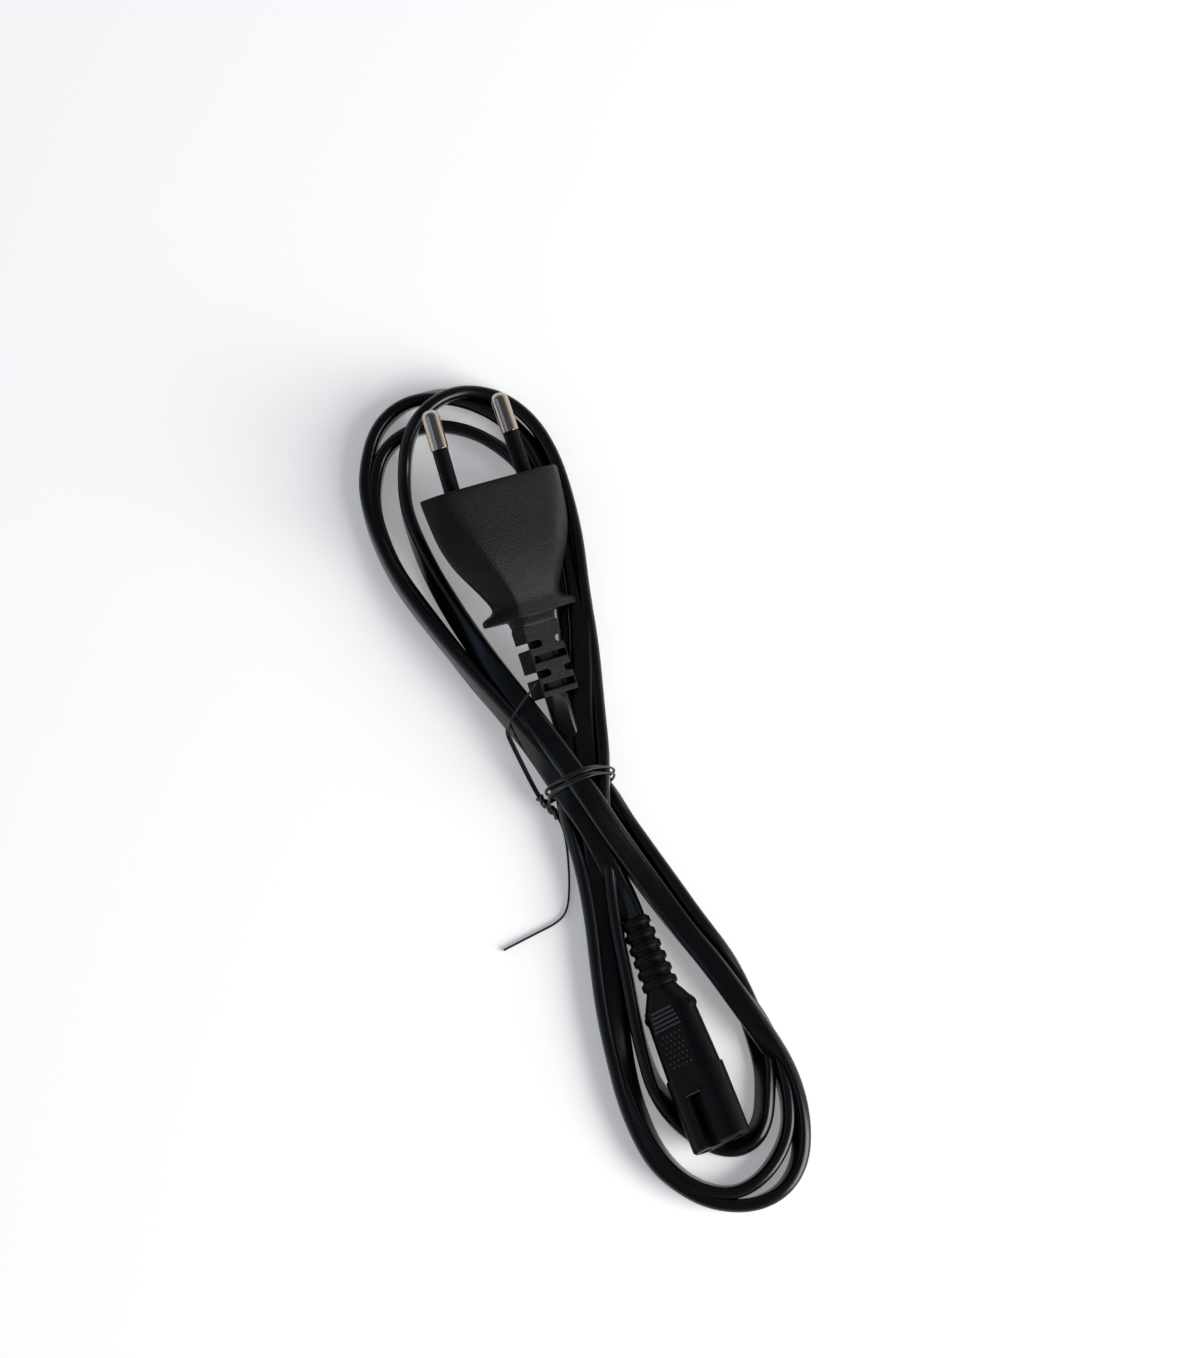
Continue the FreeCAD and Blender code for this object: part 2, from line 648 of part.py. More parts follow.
def ribbon(points):
    """Flat ribbon along runs and arcs, its width level at the start."""
    path = rounded_path(points)
    along = points[1] - points[0]
    along.normalize()
    across = Vector(0, 0, 1).cross(along)
    across.normalize()
    up = along.cross(across)
    half = across * (TIE_WIDTH / 2)
    rise = up * (TIE_THICKNESS / 2)
    corners = [points[0] - half - rise, points[0] + half - rise, points[0] + half + rise, points[0] - half + rise]
    return swept(path, Part.makePolygon(corners + corners[:1]))


def knot():
    """Twisted part of the tie, which joins both turns and both loose ends."""
    x = WAIST_CENTRE_X - WAIST_WIDTH / 2 - KNOT_DIAMETER / 3
    start = TIE_TURNS_Y[0]
    end = TIE_TURNS_Y[-1] + TIE_WIDTH
    return Part.makeCylinder(KNOT_DIAMETER / 2, end - start, Vector(x, start, KNOT_HEIGHT), Vector(0, 1, 0))


def tie_turns():
    return [ribbon_turn(y) for y in TIE_TURNS_Y]


def twist_tie():
    """Two turns, the knot and two loose ends of one ribbon."""
    tails = [ribbon([Vector(*point) for point in tail]) for tail in (FLOOR_TAIL, RAISED_TAIL)]
    return one(knot().fuse(tie_turns() + tails))


def lead(placement, start_y, end_y, hank):
    """Flat cord from its sheath's end out of a strain relief and into the hank."""
    run = slot_bar(CORD_WIDTH, CORD_THICKNESS, start_y, end_y)
    return one(placed(run, placement).cut(hank))


def main():
    os.makedirs("parts", exist_ok=True)
    at_connector = connector_placement()
    at_plug = plug_placement()
    pieces = {
        "connector_body": placed(connector_body(), at_connector),
        "contact_carrier": placed(contact_carrier(), at_connector),
        "plug_body": placed(plug_body(), at_plug),
        "pin_bridge": placed(pin_bridge(), at_plug),
    }
    for side, word in ((-1, "left"), (1, "right")):
        pieces["contact_" + word] = placed(contact(side), at_connector)
        pieces["connector_core_" + word] = placed(connector_core(side), at_connector)
        pieces["plug_pin_" + word] = placed(plug_pin(side), at_plug)
        pieces["pin_sleeve_" + word] = placed(pin_sleeve(side), at_plug)
        pieces["plug_core_" + word] = placed(plug_core(side), at_plug)
    hank = cord_hank([placed(connector_envelope(), at_connector), placed(plug_envelope(), at_plug)])
    pieces["twist_tie"] = twist_tie()
    pieces["cord_hank"] = hank
    inside = CONNECTOR_LENGTH - SHEATH_INSIDE
    outside = CONNECTOR_LENGTH + CONNECTOR_LEAD_STRAIGHT
    connector_lead = lead(at_connector, inside, outside, hank)
    inside = -PLUG_LENGTH + SHEATH_INSIDE
    outside = -PLUG_LENGTH - PLUG_LEAD_STRAIGHT
    plug_lead = lead(at_plug, inside, outside, hank)
    pieces["cord_lead_connector"] = connector_lead
    pieces["cord_lead_plug"] = plug_lead
    for name, shape in pieces.items():
        shape.exportStep(f"parts/{name}.step")
        print(f"{name}: valid {shape.isValid()}, volume {shape.Volume:.1f}")
    print("connector's mouth centre", at_connector.Base)
    print("connector's tail centre", at_connector.multVec(Vector(0, CONNECTOR_LENGTH, 0)))
    print("plug's tail centre", at_plug.multVec(Vector(0, -PLUG_LENGTH, 0)))


main()
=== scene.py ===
# %% [markdown]
# # A figure-eight mains lead, tied in a hank
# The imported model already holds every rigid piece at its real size: the connector, the plug, the
# contacts and the tie's path. This script dresses it: the cord gets its real length and section, the
# plug gets a softer skin, the mouldings get their plastic, and a camera and soft light show it the way
# a product photograph does. The connector's own moulding is shown as it is packed.

# %% Load the frame and keep its box
import math

import bmesh
import bpy
from mathutils import Matrix, Vector


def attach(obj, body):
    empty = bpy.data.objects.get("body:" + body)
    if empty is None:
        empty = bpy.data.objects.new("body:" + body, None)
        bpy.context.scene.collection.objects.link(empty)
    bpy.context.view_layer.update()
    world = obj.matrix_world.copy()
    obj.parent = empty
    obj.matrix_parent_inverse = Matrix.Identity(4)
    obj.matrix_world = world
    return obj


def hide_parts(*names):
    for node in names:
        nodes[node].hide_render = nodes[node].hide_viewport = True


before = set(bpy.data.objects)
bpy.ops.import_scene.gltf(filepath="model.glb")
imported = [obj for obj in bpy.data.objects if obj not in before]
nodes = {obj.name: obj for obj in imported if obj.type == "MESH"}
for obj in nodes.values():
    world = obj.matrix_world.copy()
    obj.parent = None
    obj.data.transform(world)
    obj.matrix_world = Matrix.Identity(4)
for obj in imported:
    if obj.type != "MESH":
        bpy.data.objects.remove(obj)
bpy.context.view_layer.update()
MM = 0.001
print("nodes:", len(nodes))

# %% [markdown]
# ## Camera
# The photograph looks down at 80 degrees from the picture's lower edge, and the connector's axis leans
# 21 degrees to the left in it. The camera looks at a point on the floor near the tie. A long lens from
# 650 mm keeps the loops nearly free of perspective.

# %% Camera at the photograph's angle
AIM = Vector((10.6, 80.7, 0.0)) * MM
CAMERA_DISTANCE = 650 * MM
CAMERA_ELEVATION = math.radians(80)
CAMERA_YAW = math.radians(-21)
LENS = 76.5
SENSOR_WIDTH = 36

tilt = Matrix.Rotation(math.pi / 2 - CAMERA_ELEVATION, 4, "X")
camera_turn = Matrix.Rotation(CAMERA_YAW, 4, "Z") @ tilt
camera_data = bpy.data.cameras.new("camera")
camera_data.lens = LENS
camera_data.sensor_width = SENSOR_WIDTH
camera = bpy.data.objects.new("camera", camera_data)
bpy.context.scene.collection.objects.link(camera)
camera.matrix_world = Matrix.Translation(AIM) @ camera_turn @ Matrix.Translation((0, 0, CAMERA_DISTANCE))
bpy.context.scene.camera = camera
bpy.context.scene.view_settings.view_transform = "Standard"
print("camera at", [round(v / MM) for v in camera.matrix_world.translation], "mm")

# %% [markdown]
# ## Cord
# The cord is one flat twin flex, 5.3 by 2.9 mm, seen from end to end. Its route is a list of points
# in the order that the cord runs: from the plug, three times round both loops, and into the
# connector. Each point also says how far the flat section leans, from 0 (flat) to 90 (on edge),
# because cord laid in a hank stands on edge in its bends and lies flat where it crosses.

# %% The route from the plug to the connector: x, y, z in millimetres, and the lean in degrees
ROUTE = [
    # plug lead, down to the floor under the tie and along the lower right
    (1.6, 79.5, 6.85, -24), (1.4, 76.0, 6.3, -6), (1.0, 69.5, 3.9, 14), (2.0, 61.5, 1.6, 4),
    (4.0, 56.0, 1.45, 0), (5.5, 49.5, 2.51, 60), (8.5, 39.5, 2.65, 80), (11.0, 30.0, 2.65, 80),
    (13.0, 22.0, 2.65, 80), (14.5, 15.5, 2.51, 60), (16.0, 6.5, 1.45, 0), (16.5, -3.0, 1.68, 10),
    # innermost lower loop, under the connector's nose
    (15.5, -13.0, 2.3, 45), (13.0, -19.5, 2.45, 55), (10.5, -24.5, 2.45, 55), (7.0, -27.5, 2.32, 45),
    (2.0, -27.5, 1.68, 10), (-2.5, -24.0, 1.45, 0), (-6.5, -18.0, 1.88, 20), (-9.0, -10.5, 2.51, 60),
    (-9.0, -3.5, 2.65, 80), (-8.0, 5.0, 2.65, 85), (-6.0, 15.5, 2.65, 85), (-4.4, 26.0, 2.65, 85),
    (-1.4, 38.0, 2.8, 85), (2.0, 49.0, 4.4, 85), (4.0, 56.0, 5.0, 85), (7.0, 63.5, 4.2, 88),
    # outermost upper right, over the top, and down the inner left
    (9.5, 73.0, 2.65, 90), (13.5, 87.0, 2.65, 90), (16.0, 99.5, 2.65, 90), (19.0, 111.0, 2.65, 90),
    (20.5, 121.5, 2.65, 90), (21.0, 131.5, 2.65, 90), (19.5, 140.5, 2.65, 85), (15.5, 147.5, 3.2, 80),
    (10.0, 151.5, 4.2, 75), (3.5, 152.5, 6.6, 80), (-3.0, 150.5, 8.0, 85), (-8.0, 147.0, 6.4, 90),
    (-11.5, 141.5, 3.4, 90), (-14.5, 133.0, 2.65, 90), (-15.0, 125.5, 2.65, 80), (-14.5, 115.5, 2.7, 60),
    (-13.0, 106.0, 3.2, 40), (-11.0, 96.5, 4.3, 25), (-8.5, 87.0, 6.2, 10), (-5.5, 77.0, 7.8, 0),
    # flat over the top of the bundle to the outermost lower loop
    (-2.5, 66.0, 9.6, 0), (0.0, 56.0, 10.0, 0), (2.0, 47.0, 8.2, 0), (4.5, 38.0, 5.8, 0),
    (7.0, 29.5, 4.4, 0), (9.5, 20.0, 4.4, 0), (12.5, 10.5, 6.0, 0), (15.0, 1.0, 6.2, 10),
    (17.5, -8.0, 4.4, 25), (19.0, -15.5, 3.4, 40), (19.0, -23.0, 3.0, 55), (17.5, -30.0, 2.7, 65),
    (14.5, -36.0, 2.65, 70), (9.5, -40.0, 2.65, 80), (3.5, -41.0, 2.65, 85), (-2.5, -39.5, 2.65, 90),
    (-8.0, -36.0, 2.65, 90), (-12.5, -30.5, 2.65, 90), (-15.5, -24.5, 2.65, 90), (-16.5, -16.5, 2.65, 90),
    (-16.5, -9.0, 2.65, 90), (-15.5, -0.5, 2.65, 90), (-14.0, 9.5, 2.65, 90), (-11.5, 20.0, 2.65, 90),
    (-9.0, 29.5, 2.65, 90), (-7.0, 39.5, 2.65, 85), (-5.5, 49.5, 3.8, 60), (-4.5, 56.5, 4.6, 30),
    # up under the plug's right side, round the inner top and the second ring on the left
    (-1.0, 64.5, 4.4, 0), (3.5, 73.5, 3.0, 0), (7.5, 84.5, 2.0, 20), (10.5, 94.0, 1.68, 10),
    (13.0, 104.5, 1.45, 0), (15.0, 115.0, 1.45, 0), (15.5, 124.0, 1.88, 20), (14.0, 131.5, 2.51, 60),
    (10.5, 137.5, 2.6, 75), (6.5, 142.5, 2.65, 80), (1.0, 146.5, 2.65, 80), (-5.0, 148.5, 2.65, 80),
    (-10.5, 148.0, 2.65, 85), (-15.5, 145.5, 2.65, 90), (-19.0, 140.5, 2.65, 90), (-21.5, 134.0, 2.65, 90),
    (-22.0, 126.0, 2.65, 90), (-21.5, 118.5, 2.65, 90), (-19.5, 110.0, 2.65, 80), (-17.0, 100.5, 2.6, 70),
    (-14.0, 90.5, 2.51, 60), (-10.0, 80.5, 2.24, 40), (-7.0, 71.5, 1.68, 10), (-4.0, 61.5, 1.45, 0),
    # flat on the floor under the bundle to the middle lower loop
    (-1.5, 54.0, 1.45, 0), (1.5, 45.5, 1.45, 0), (4.5, 37.5, 1.45, 0), (7.0, 28.5, 1.45, 0),
    (10.0, 19.0, 1.45, 0), (13.5, 9.0, 1.68, 10), (16.5, -1.0, 1.88, 20), (18.0, -9.0, 2.39, 50),
    (18.0, -16.5, 2.6, 75), (17.0, -23.0, 2.65, 85), (14.5, -29.0, 2.65, 85), (10.0, -33.5, 2.65, 80),
    (4.5, -36.5, 2.65, 85), (-1.5, -37.0, 2.65, 85), (-7.0, -34.0, 2.65, 80), (-11.5, -28.5, 2.65, 75),
    (-14.0, -21.0, 2.6, 70), (-14.5, -12.5, 2.51, 60), (-14.0, -4.0, 2.24, 40), (-12.0, 5.5, 1.8, 15),
    (-10.0, 14.5, 1.6, 0), (-7.5, 24.5, 1.6, 0), (-4.5, 35.0, 2.2, 0), (-3.0, 43.5, 4.0, 0),
    # up the middle, flat, and round the outermost top
    (-0.5, 53.5, 5.1, 0), (2.5, 62.5, 4.8, 0), (5.5, 73.0, 4.0, 0), (9.5, 83.5, 4.0, 0),
    (13.0, 93.5, 4.2, 0), (15.5, 103.5, 2.8, 20), (17.0, 113.0, 1.9, 10), (18.0, 121.5, 1.7, 10),
    (18.0, 128.5, 2.1, 30), (17.0, 135.0, 2.39, 50), (14.5, 142.0, 2.51, 60), (11.0, 147.0, 2.51, 60),
    (6.5, 151.5, 2.39, 50), (1.5, 154.0, 2.51, 60), (-4.5, 155.0, 2.65, 80), (-10.0, 154.0, 2.65, 90),
    (-15.0, 151.0, 2.65, 90), (-19.0, 145.5, 2.65, 90), (-22.0, 139.0, 2.65, 90), (-23.0, 132.0, 2.65, 85),
    (-23.0, 124.5, 3.0, 80), (-22.0, 115.5, 4.2, 80), (-19.5, 106.0, 5.4, 80), (-16.0, 95.0, 6.5, 80),
    (-12.0, 84.0, 7.0, 70), (-8.5, 74.0, 7.2, 60), (-6.0, 65.5, 7.2, 40), (-4.0, 57.0, 7.2, 10),
    # down to the connector's collar
    (-2.0, 49.0, 6.6, 0), (-1.2, 42.0, 5.0, 10), (-0.6, 36.0, 3.3, 25), (0.0, 31.0, 2.7, 32),
    (0.0, 26.34, 3.12, 32),
]
CORD_WIDTH = 5.3 * MM
CORD_THICKNESS = 2.9 * MM
STEPS_PER_SPAN = 6
SECTION_STEPS = 5
CORD_CORNER = 1.15 * MM
print("route:", len(ROUTE), "points")

# %% [markdown]
# A curve object does the sweeping: a NURBS spline of order 3 runs smoothly near the points, its tilt
# turns the section, and a small closed curve is the section. Up and sideways stay true along a level
# route with the Z-up twist. The swept curve is turned into a mesh, and the same spline without a
# section gives the middle line that the length is measured on.


# %% Spline and section of a flat cord
def spline_object(name, points, leans):
    """A smooth NURBS curve through the neighbourhood of the points, with a tilt at each."""
    data = bpy.data.curves.new(name, "CURVE")
    data.dimensions = "3D"
    data.twist_mode = "Z_UP"
    data.resolution_u = STEPS_PER_SPAN
    spline = data.splines.new("NURBS")
    spline.points.add(len(points) - 1)
    for point, place, lean in zip(spline.points, points, leans):
        point.co = (*place, 1.0)
        point.tilt = math.radians(lean)
    spline.order_u = 3
    spline.use_endpoint_u = True
    curve = bpy.data.objects.new(name, data)
    bpy.context.scene.collection.objects.link(curve)
    return curve


def flat_section(name, width, thickness, corner):
    """Closed curve of a flat cord's section: a box with round corners."""
    data = bpy.data.curves.new(name, "CURVE")
    data.dimensions = "2D"
    across = width / 2 - corner
    up = thickness / 2 - corner
    spline = data.splines.new("POLY")
    corners = []
    for quarter, (x, y) in enumerate(((across, -up), (across, up), (-across, up), (-across, -up))):
        for step in range(SECTION_STEPS):
            angle = math.pi / 2 * (quarter - 1 + step / (SECTION_STEPS - 1))
            corners.append((x + corner * math.cos(angle), y + corner * math.sin(angle), 0, 1))
    spline.points.add(len(corners) - 1)
    for point, corner_point in zip(spline.points, corners):
        point.co = corner_point
    spline.use_cyclic_u = True
    section = bpy.data.objects.new(name, data)
    bpy.context.scene.collection.objects.link(section)
    return section


# %% Sweep the section along a route
def evaluated_mesh(obj, name):
    """Mesh of an object with its modifiers or its curve's sweep worked out."""
    bpy.context.view_layer.update()
    graph = bpy.context.evaluated_depsgraph_get()
    mesh = bpy.data.meshes.new_from_object(obj.evaluated_get(graph))
    mesh.name = name
    return mesh


def sweep(name, route, width, thickness, corner):
    """Object with a flat section swept along a route, and the points of its middle line."""
    places = [Vector(point[:3]) * MM for point in route]
    curve = spline_object(name + "_curve", places, [point[3] for point in route])
    middle = [vertex.co.copy() for vertex in evaluated_mesh(curve, name + "_line").vertices]
    section = flat_section(name + "_section", width, thickness, corner)
    curve.data.bevel_mode = "OBJECT"
    curve.data.bevel_object = section
    curve.data.use_fill_caps = True
    piece = bpy.data.objects.new(name, evaluated_mesh(curve, name))
    bpy.context.scene.collection.objects.link(piece)
    for spare in (curve, section):
        bpy.data.objects.remove(spare)
    piece.data.polygons.foreach_set("use_smooth", [True] * len(piece.data.polygons))
    return piece, middle


# %% The cord itself
cord, cord_line = sweep("cord", ROUTE, CORD_WIDTH, CORD_THICKNESS, CORD_CORNER)
cord_length = sum((b - a).length for a, b in zip(cord_line, cord_line[1:]))
print(f"cord {cord_length:.3f} m, {len(cord.data.vertices)} vertices")
print("cord uv maps:", [uv.name for uv in cord.data.uv_layers])
low = [min(v.co[i] for v in cord.data.vertices) / MM for i in range(3)]
high = [max(v.co[i] for v in cord.data.vertices) / MM for i in range(3)]
print("cord box", [round(v, 1) for v in low], [round(v, 1) for v in high])

# %% [markdown]
# ## Twist tie
# The tie is one thin plastic ribbon with a wire in it. It goes twice round the bundle, is twisted on
# itself on the left, and its two ends stay loose: one curls up over the plug's strain relief, the
# other lies out on the floor on its edge. The same sweep makes it with a much smaller section. The
# twist is a second short sweep whose lean grows by one and a half turns.

# %% Ribbon of the tie
TIE_WIDTH = 1.05 * MM
TIE_THICKNESS = 0.45 * MM
TIE_CORNER = 0.16 * MM
TWIST_WIDTH = 1.9 * MM
TWIST_THICKNESS = 1.2 * MM
TWIST_CORNER = 0.35 * MM
TIE_ROUTE = [
    # loose end on the floor, on edge
    (-29.3, 30.6, 0.54, 88), (-24.8, 31.1, 0.54, 88), (-20.4, 31.6, 0.54, 88), (-16.2, 32.0, 0.54, 88),
    (-13.0, 33.6, 0.54, 88), (-10.4, 39.2, 0.54, 88), (-8.2, 46.2, 0.9, 80), (-7.2, 50.8, 1.7, 60),
    (-7.6, 53.8, 2.8, 70), (-8.6, 56.3, 4.0, 88),
    # first turn: over the bundle, down its right side and back under it
    (-8.2, 57.8, 6.2, 90), (-7.4, 58.4, 8.8, 60), (-4.4, 58.8, 10.8, 35), (-1.2, 59.0, 11.9, 10),
    (2.2, 59.0, 11.8, -15), (5.0, 58.8, 9.0, -45), (6.8, 58.5, 6.6, -65), (7.5, 58.1, 3.4, -88),
    (7.0, 57.6, 0.5, -125), (3.5, 57.3, 0.24, -180), (-2.0, 57.5, 0.24, -180), (-6.0, 57.9, 0.4, -200),
    (-7.4, 58.5, 2.8, -255),
    # second turn, beside the first
    (-8.3, 59.2, 5.6, -268), (-8.0, 59.7, 8.2, -290), (-5.0, 60.1, 10.6, -325), (-1.6, 60.4, 11.95, -350),
    (2.0, 60.5, 11.7, -372), (5.2, 60.1, 9.0, -402), (7.2, 59.6, 6.5, -428), (7.9, 59.0, 3.0, -450),
    (7.0, 58.8, 0.5, -487), (3.5, 58.5, 0.24, -540), (-2.0, 58.5, 0.24, -540), (-6.2, 58.2, 0.5, -560),
    (-8.2, 57.6, 2.6, -580),
    # loose end that rises over the plug's strain relief
    (-9.0, 57.4, 3.8, -550), (-9.9, 59.0, 4.2, -540), (-10.4, 62.4, 4.6, -540), (-10.9, 67.0, 5.4, -540),
    (-11.4, 72.0, 6.4, -545), (-11.6, 74.8, 7.2, -560), (-10.6, 76.6, 8.4, -600), (-7.9, 78.3, 10.4, -630),
    (-5.2, 79.9, 12.2, -630), (-2.8, 81.2, 13.6, -630), (-1.9, 82.0, 14.0, -630),
]
TWIST_ROUTE = [
    (-10.0, 59.4, 4.3, 0), (-9.6, 58.2, 4.1, 110), (-9.0, 57.0, 3.9, 220), (-8.5, 55.9, 3.6, 330),
    (-7.9, 54.8, 3.2, 440), (-7.5, 53.7, 2.7, 540),
]
tie, tie_line = sweep("tie_ribbon", TIE_ROUTE, TIE_WIDTH, TIE_THICKNESS, TIE_CORNER)
twist = sweep("tie_twist", TWIST_ROUTE, TWIST_WIDTH, TWIST_THICKNESS, TWIST_CORNER)[0]
for piece in (tie, twist):
    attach(piece, "root")
    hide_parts("twist_tie")
tie_length = sum((b - a).length for a, b in zip(tie_line, tie_line[1:]))
print(f"tie {tie_length / MM:.0f} mm of ribbon")

# %% [markdown]
# ## Plug
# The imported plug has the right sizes, but its long facets meet in straight hard lines. On the real
# moulding they melt into each other at the face and grow crisp towards the waist. So the visible plug
# is a cage of cross sections, bridged into a tube and rounded by a live Subdivision Surface. Every
# corner of a section is a pair of points, and the closer the pair, the sharper the edge there.

# %% Sections of the plug: distance behind the face, width, flat width, height, softness, upright side
PLUG_AT = Vector((4.3, 127.8, 14.6)) * MM
PLUG_TURN = (
    Matrix.Rotation(math.radians(-3.2), 3, "Z") @ Matrix.Rotation(math.radians(9.1), 3, "X")
    @ Matrix.Rotation(math.radians(24.0), 3, "Y")
)
PLUG_SECTIONS = [
    (0.0, 34.9, 25.0, 11.4, 2.6, 2.2), (0.2, 35.1, 25.1, 11.6, 2.6, 2.2),
    (1.0, 35.3, 25.2, 11.9, 2.6, 2.2), (4.2, 34.7, 24.2, 12.1, 2.2, 2.2),
    (9.9, 33.6, 21.6, 12.3, 1.4, 2.2), (13.4, 31.5, 19.2, 12.5, 0.8, 2.2),
    (16.8, 28.6, 16.8, 12.5, 0.5, 2.2), (20.0, 24.6, 14.4, 12.2, 0.36, 2.2),
    (23.0, 20.8, 12.2, 11.6, 0.3, 2.2), (25.6, 17.9, 10.6, 10.9, 0.26, 2.2),
    (27.2, 16.6, 9.7, 10.3, 0.26, 2.2), (28.0, 17.1, 9.6, 10.2, 0.3, 2.2),
    (28.6, 18.9, 9.6, 10.2, 0.3, 2.2), (29.0, 21.4, 9.6, 10.2, 0.35, 2.2),
    (29.4, 23.4, 9.6, 10.2, 0.35, 2.2), (30.7, 23.6, 9.6, 10.2, 0.35, 2.2),
    (30.95, 23.0, 9.5, 10.2, 0.35, 2.2), (31.05, 12.4, 7.6, 10.2, 0.35, 2.4),
    (31.15, 11.0, 6.8, 10.1, 0.35, 2.6), (31.9, 10.0, 7.2, 8.4, 0.35, 3.8),
    (32.7, 8.9, 8.0, 6.6, 0.3, 5.4), (33.2, 8.8, 8.0, 6.4, 0.3, 5.5),
    (33.4, 8.8, 8.0, 6.4, 0.3, 5.5),
]
PAIR_SHARE = 0.42
FACE_RIM = 0.25 * MM
REAR_RIM = 0.2 * MM
ROUNDING_LEVELS = 3
print("plug:", len(PLUG_SECTIONS), "sections over", PLUG_SECTIONS[-1][0], "mm")

# %% [markdown]
# The bridge operator joins each ring to the next one. The face and the rear end are closed with one flat
# face each, and that face is inset by a narrow rim, which keeps the rounding from pulling the end
# into a dome.


# %% Bridge the sections into the plug's skin
def to_plug(x, y, z):
    """Point of the scene from one in the plug's own directions, in millimetres."""
    return PLUG_AT + PLUG_TURN @ (Vector((x, y, z)) * MM)


def section_ring(bm, back, width, flat, height, softness, side):
    """Closed ring of sixteen points: two for each of the eight corners, within a share of the edges."""
    w, f, h, t = width / 2, flat / 2, height / 2, side / 2
    corners = [Vector(c) for c in ((-w, -t), (-w, t), (-f, h), (f, h), (w, t), (w, -t), (f, -h), (-f, -h))]
    ring = []
    for index, corner in enumerate(corners):
        for other in (corners[index - 1], corners[(index + 1) % len(corners)]):
            step = other - corner
            reach = min(softness, PAIR_SHARE * step.length)
            x, z = corner + step.normalized() * reach
            ring.append(bm.verts.new(to_plug(x, -back, z)))
    return [bm.edges.new((a, b)) for a, b in zip(ring, ring[1:] + ring[:1])]


skin_bm = bmesh.new()
rings = [section_ring(skin_bm, *section) for section in PLUG_SECTIONS]
for front_ring, rear_ring in zip(rings, rings[1:]):
    bmesh.ops.bridge_loops(skin_bm, edges=front_ring + rear_ring)
for ring, rim in ((rings[0], FACE_RIM), (rings[-1], REAR_RIM)):
    cap = bmesh.ops.contextual_create(skin_bm, geom=ring)["faces"]
    bmesh.ops.inset_region(skin_bm, faces=cap, thickness=rim)
bmesh.ops.recalc_face_normals(skin_bm, faces=skin_bm.faces)
for face in skin_bm.faces:
    face.smooth = True
open_edges = sum(not edge.is_manifold for edge in skin_bm.edges)
print("plug skin:", len(skin_bm.faces), "faces, open edges", open_edges)


# %% Make the skin a piece of the lead
def object_from(name, bm):
    """Linked object with the mesh of a finished bmesh."""
    mesh = bpy.data.meshes.new(name)
    bm.to_mesh(mesh)
    bm.free()
    made = bpy.data.objects.new(name, mesh)
    bpy.context.scene.collection.objects.link(made)
    return made


def link_piece(name, bm, replaced):
    """Piece of the part for a finished bmesh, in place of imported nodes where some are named."""
    piece = object_from(name, bm)
    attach(piece, "root")
    if replaced:
        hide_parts(*replaced)
    return piece


plug_skin = link_piece("plug_skin", skin_bm, ["plug_body"])
rounding = plug_skin.modifiers.new("rounding", "SUBSURF")
rounding.levels = ROUNDING_LEVELS
rounding.render_levels = ROUNDING_LEVELS
print("pieces so far:", cord.name, tie.name, twist.name, plug_skin.name)

# %% [markdown]
# Behind the wings sits the square strain relief. Notches and pockets take turns in it, so that it bends
# with the cord. The side notches have round ends, deep on the left and short on the right, and they are
# part of the outline that is extruded to the relief's height.

# %% Strain relief of the plug, with its notches
RELIEF_FRONT, RELIEF_BACK = -33.2, -49.4
RELIEF_HALF_WIDTH, RELIEF_HALF_HEIGHT = 4.4, 3.2
NOTCHES = [(-36.6, -38.2), (-43.4, -45.0)]
RIGHT_NOTCH_END, LEFT_NOTCH_END = 2.6, 1.0
NOTCH_STEPS = 6


def relief_side(notch_end):
    """One side of the relief's outline from front to back, its notches reaching in to notch_end."""
    side = [(RELIEF_HALF_WIDTH, RELIEF_FRONT)]
    for front, back in NOTCHES:
        radius = (front - back) / 2
        side.append((RELIEF_HALF_WIDTH, front))
        for step in range(NOTCH_STEPS + 1):
            angle = math.pi * step / NOTCH_STEPS
            inward = notch_end + radius * (1 - math.sin(angle))
            side.append((inward, front - radius * (1 - math.cos(angle))))
        side.append((RELIEF_HALF_WIDTH, back))
    return side + [(RELIEF_HALF_WIDTH, RELIEF_BACK)]


outline = relief_side(RIGHT_NOTCH_END) + [(-x, y) for x, y in reversed(relief_side(LEFT_NOTCH_END))]
relief_bm = bmesh.new()
foot = relief_bm.faces.new([relief_bm.verts.new(to_plug(x, y, -RELIEF_HALF_HEIGHT)) for x, y in outline])
raised = bmesh.ops.extrude_face_region(relief_bm, geom=[foot])["geom"]
lift = PLUG_TURN @ Vector((0, 0, 2 * RELIEF_HALF_HEIGHT * MM))
bmesh.ops.translate(relief_bm, vec=lift, verts=[v for v in raised if isinstance(v, bmesh.types.BMVert)])
bmesh.ops.recalc_face_normals(relief_bm, faces=relief_bm.faces)
relief = link_piece("plug_relief", relief_bm, ["plug_body"])
print("relief:", len(outline), "points in the outline")

# %% [markdown]
# The pockets across the relief's top and foot are cut with a Boolean modifier, deep enough that the
# cord's sheath shows at their bottom. The cut mesh takes the place of the plain one, because the piece
# that cuts is thrown away, and a small Bevel modifier rounds what is left.

# %% Cut the pockets and round the edges
POCKETS = [(-39.95, -41.55), (-46.45, -48.05)]
POCKET_HALF_WIDTH, POCKET_FLOOR = 4.1, 0.8
CUTTER_HEIGHT = 4.0
RELIEF_EDGE = 0.18 * MM
cutter_bm = bmesh.new()
for front, back in POCKETS:
    for side in (1, -1):
        size = Vector((2 * POCKET_HALF_WIDTH, front - back, CUTTER_HEIGHT)) * MM
        middle = to_plug(0, (front + back) / 2, side * (POCKET_FLOOR + CUTTER_HEIGHT / 2))
        place = Matrix.Translation(middle)
        shape = place @ PLUG_TURN.to_4x4() @ Matrix.Diagonal((*size, 1))
        bmesh.ops.create_cube(cutter_bm, size=1.0, matrix=shape)
cutter = object_from("pocket_cutter", cutter_bm)
cut = relief.modifiers.new("pockets", "BOOLEAN")
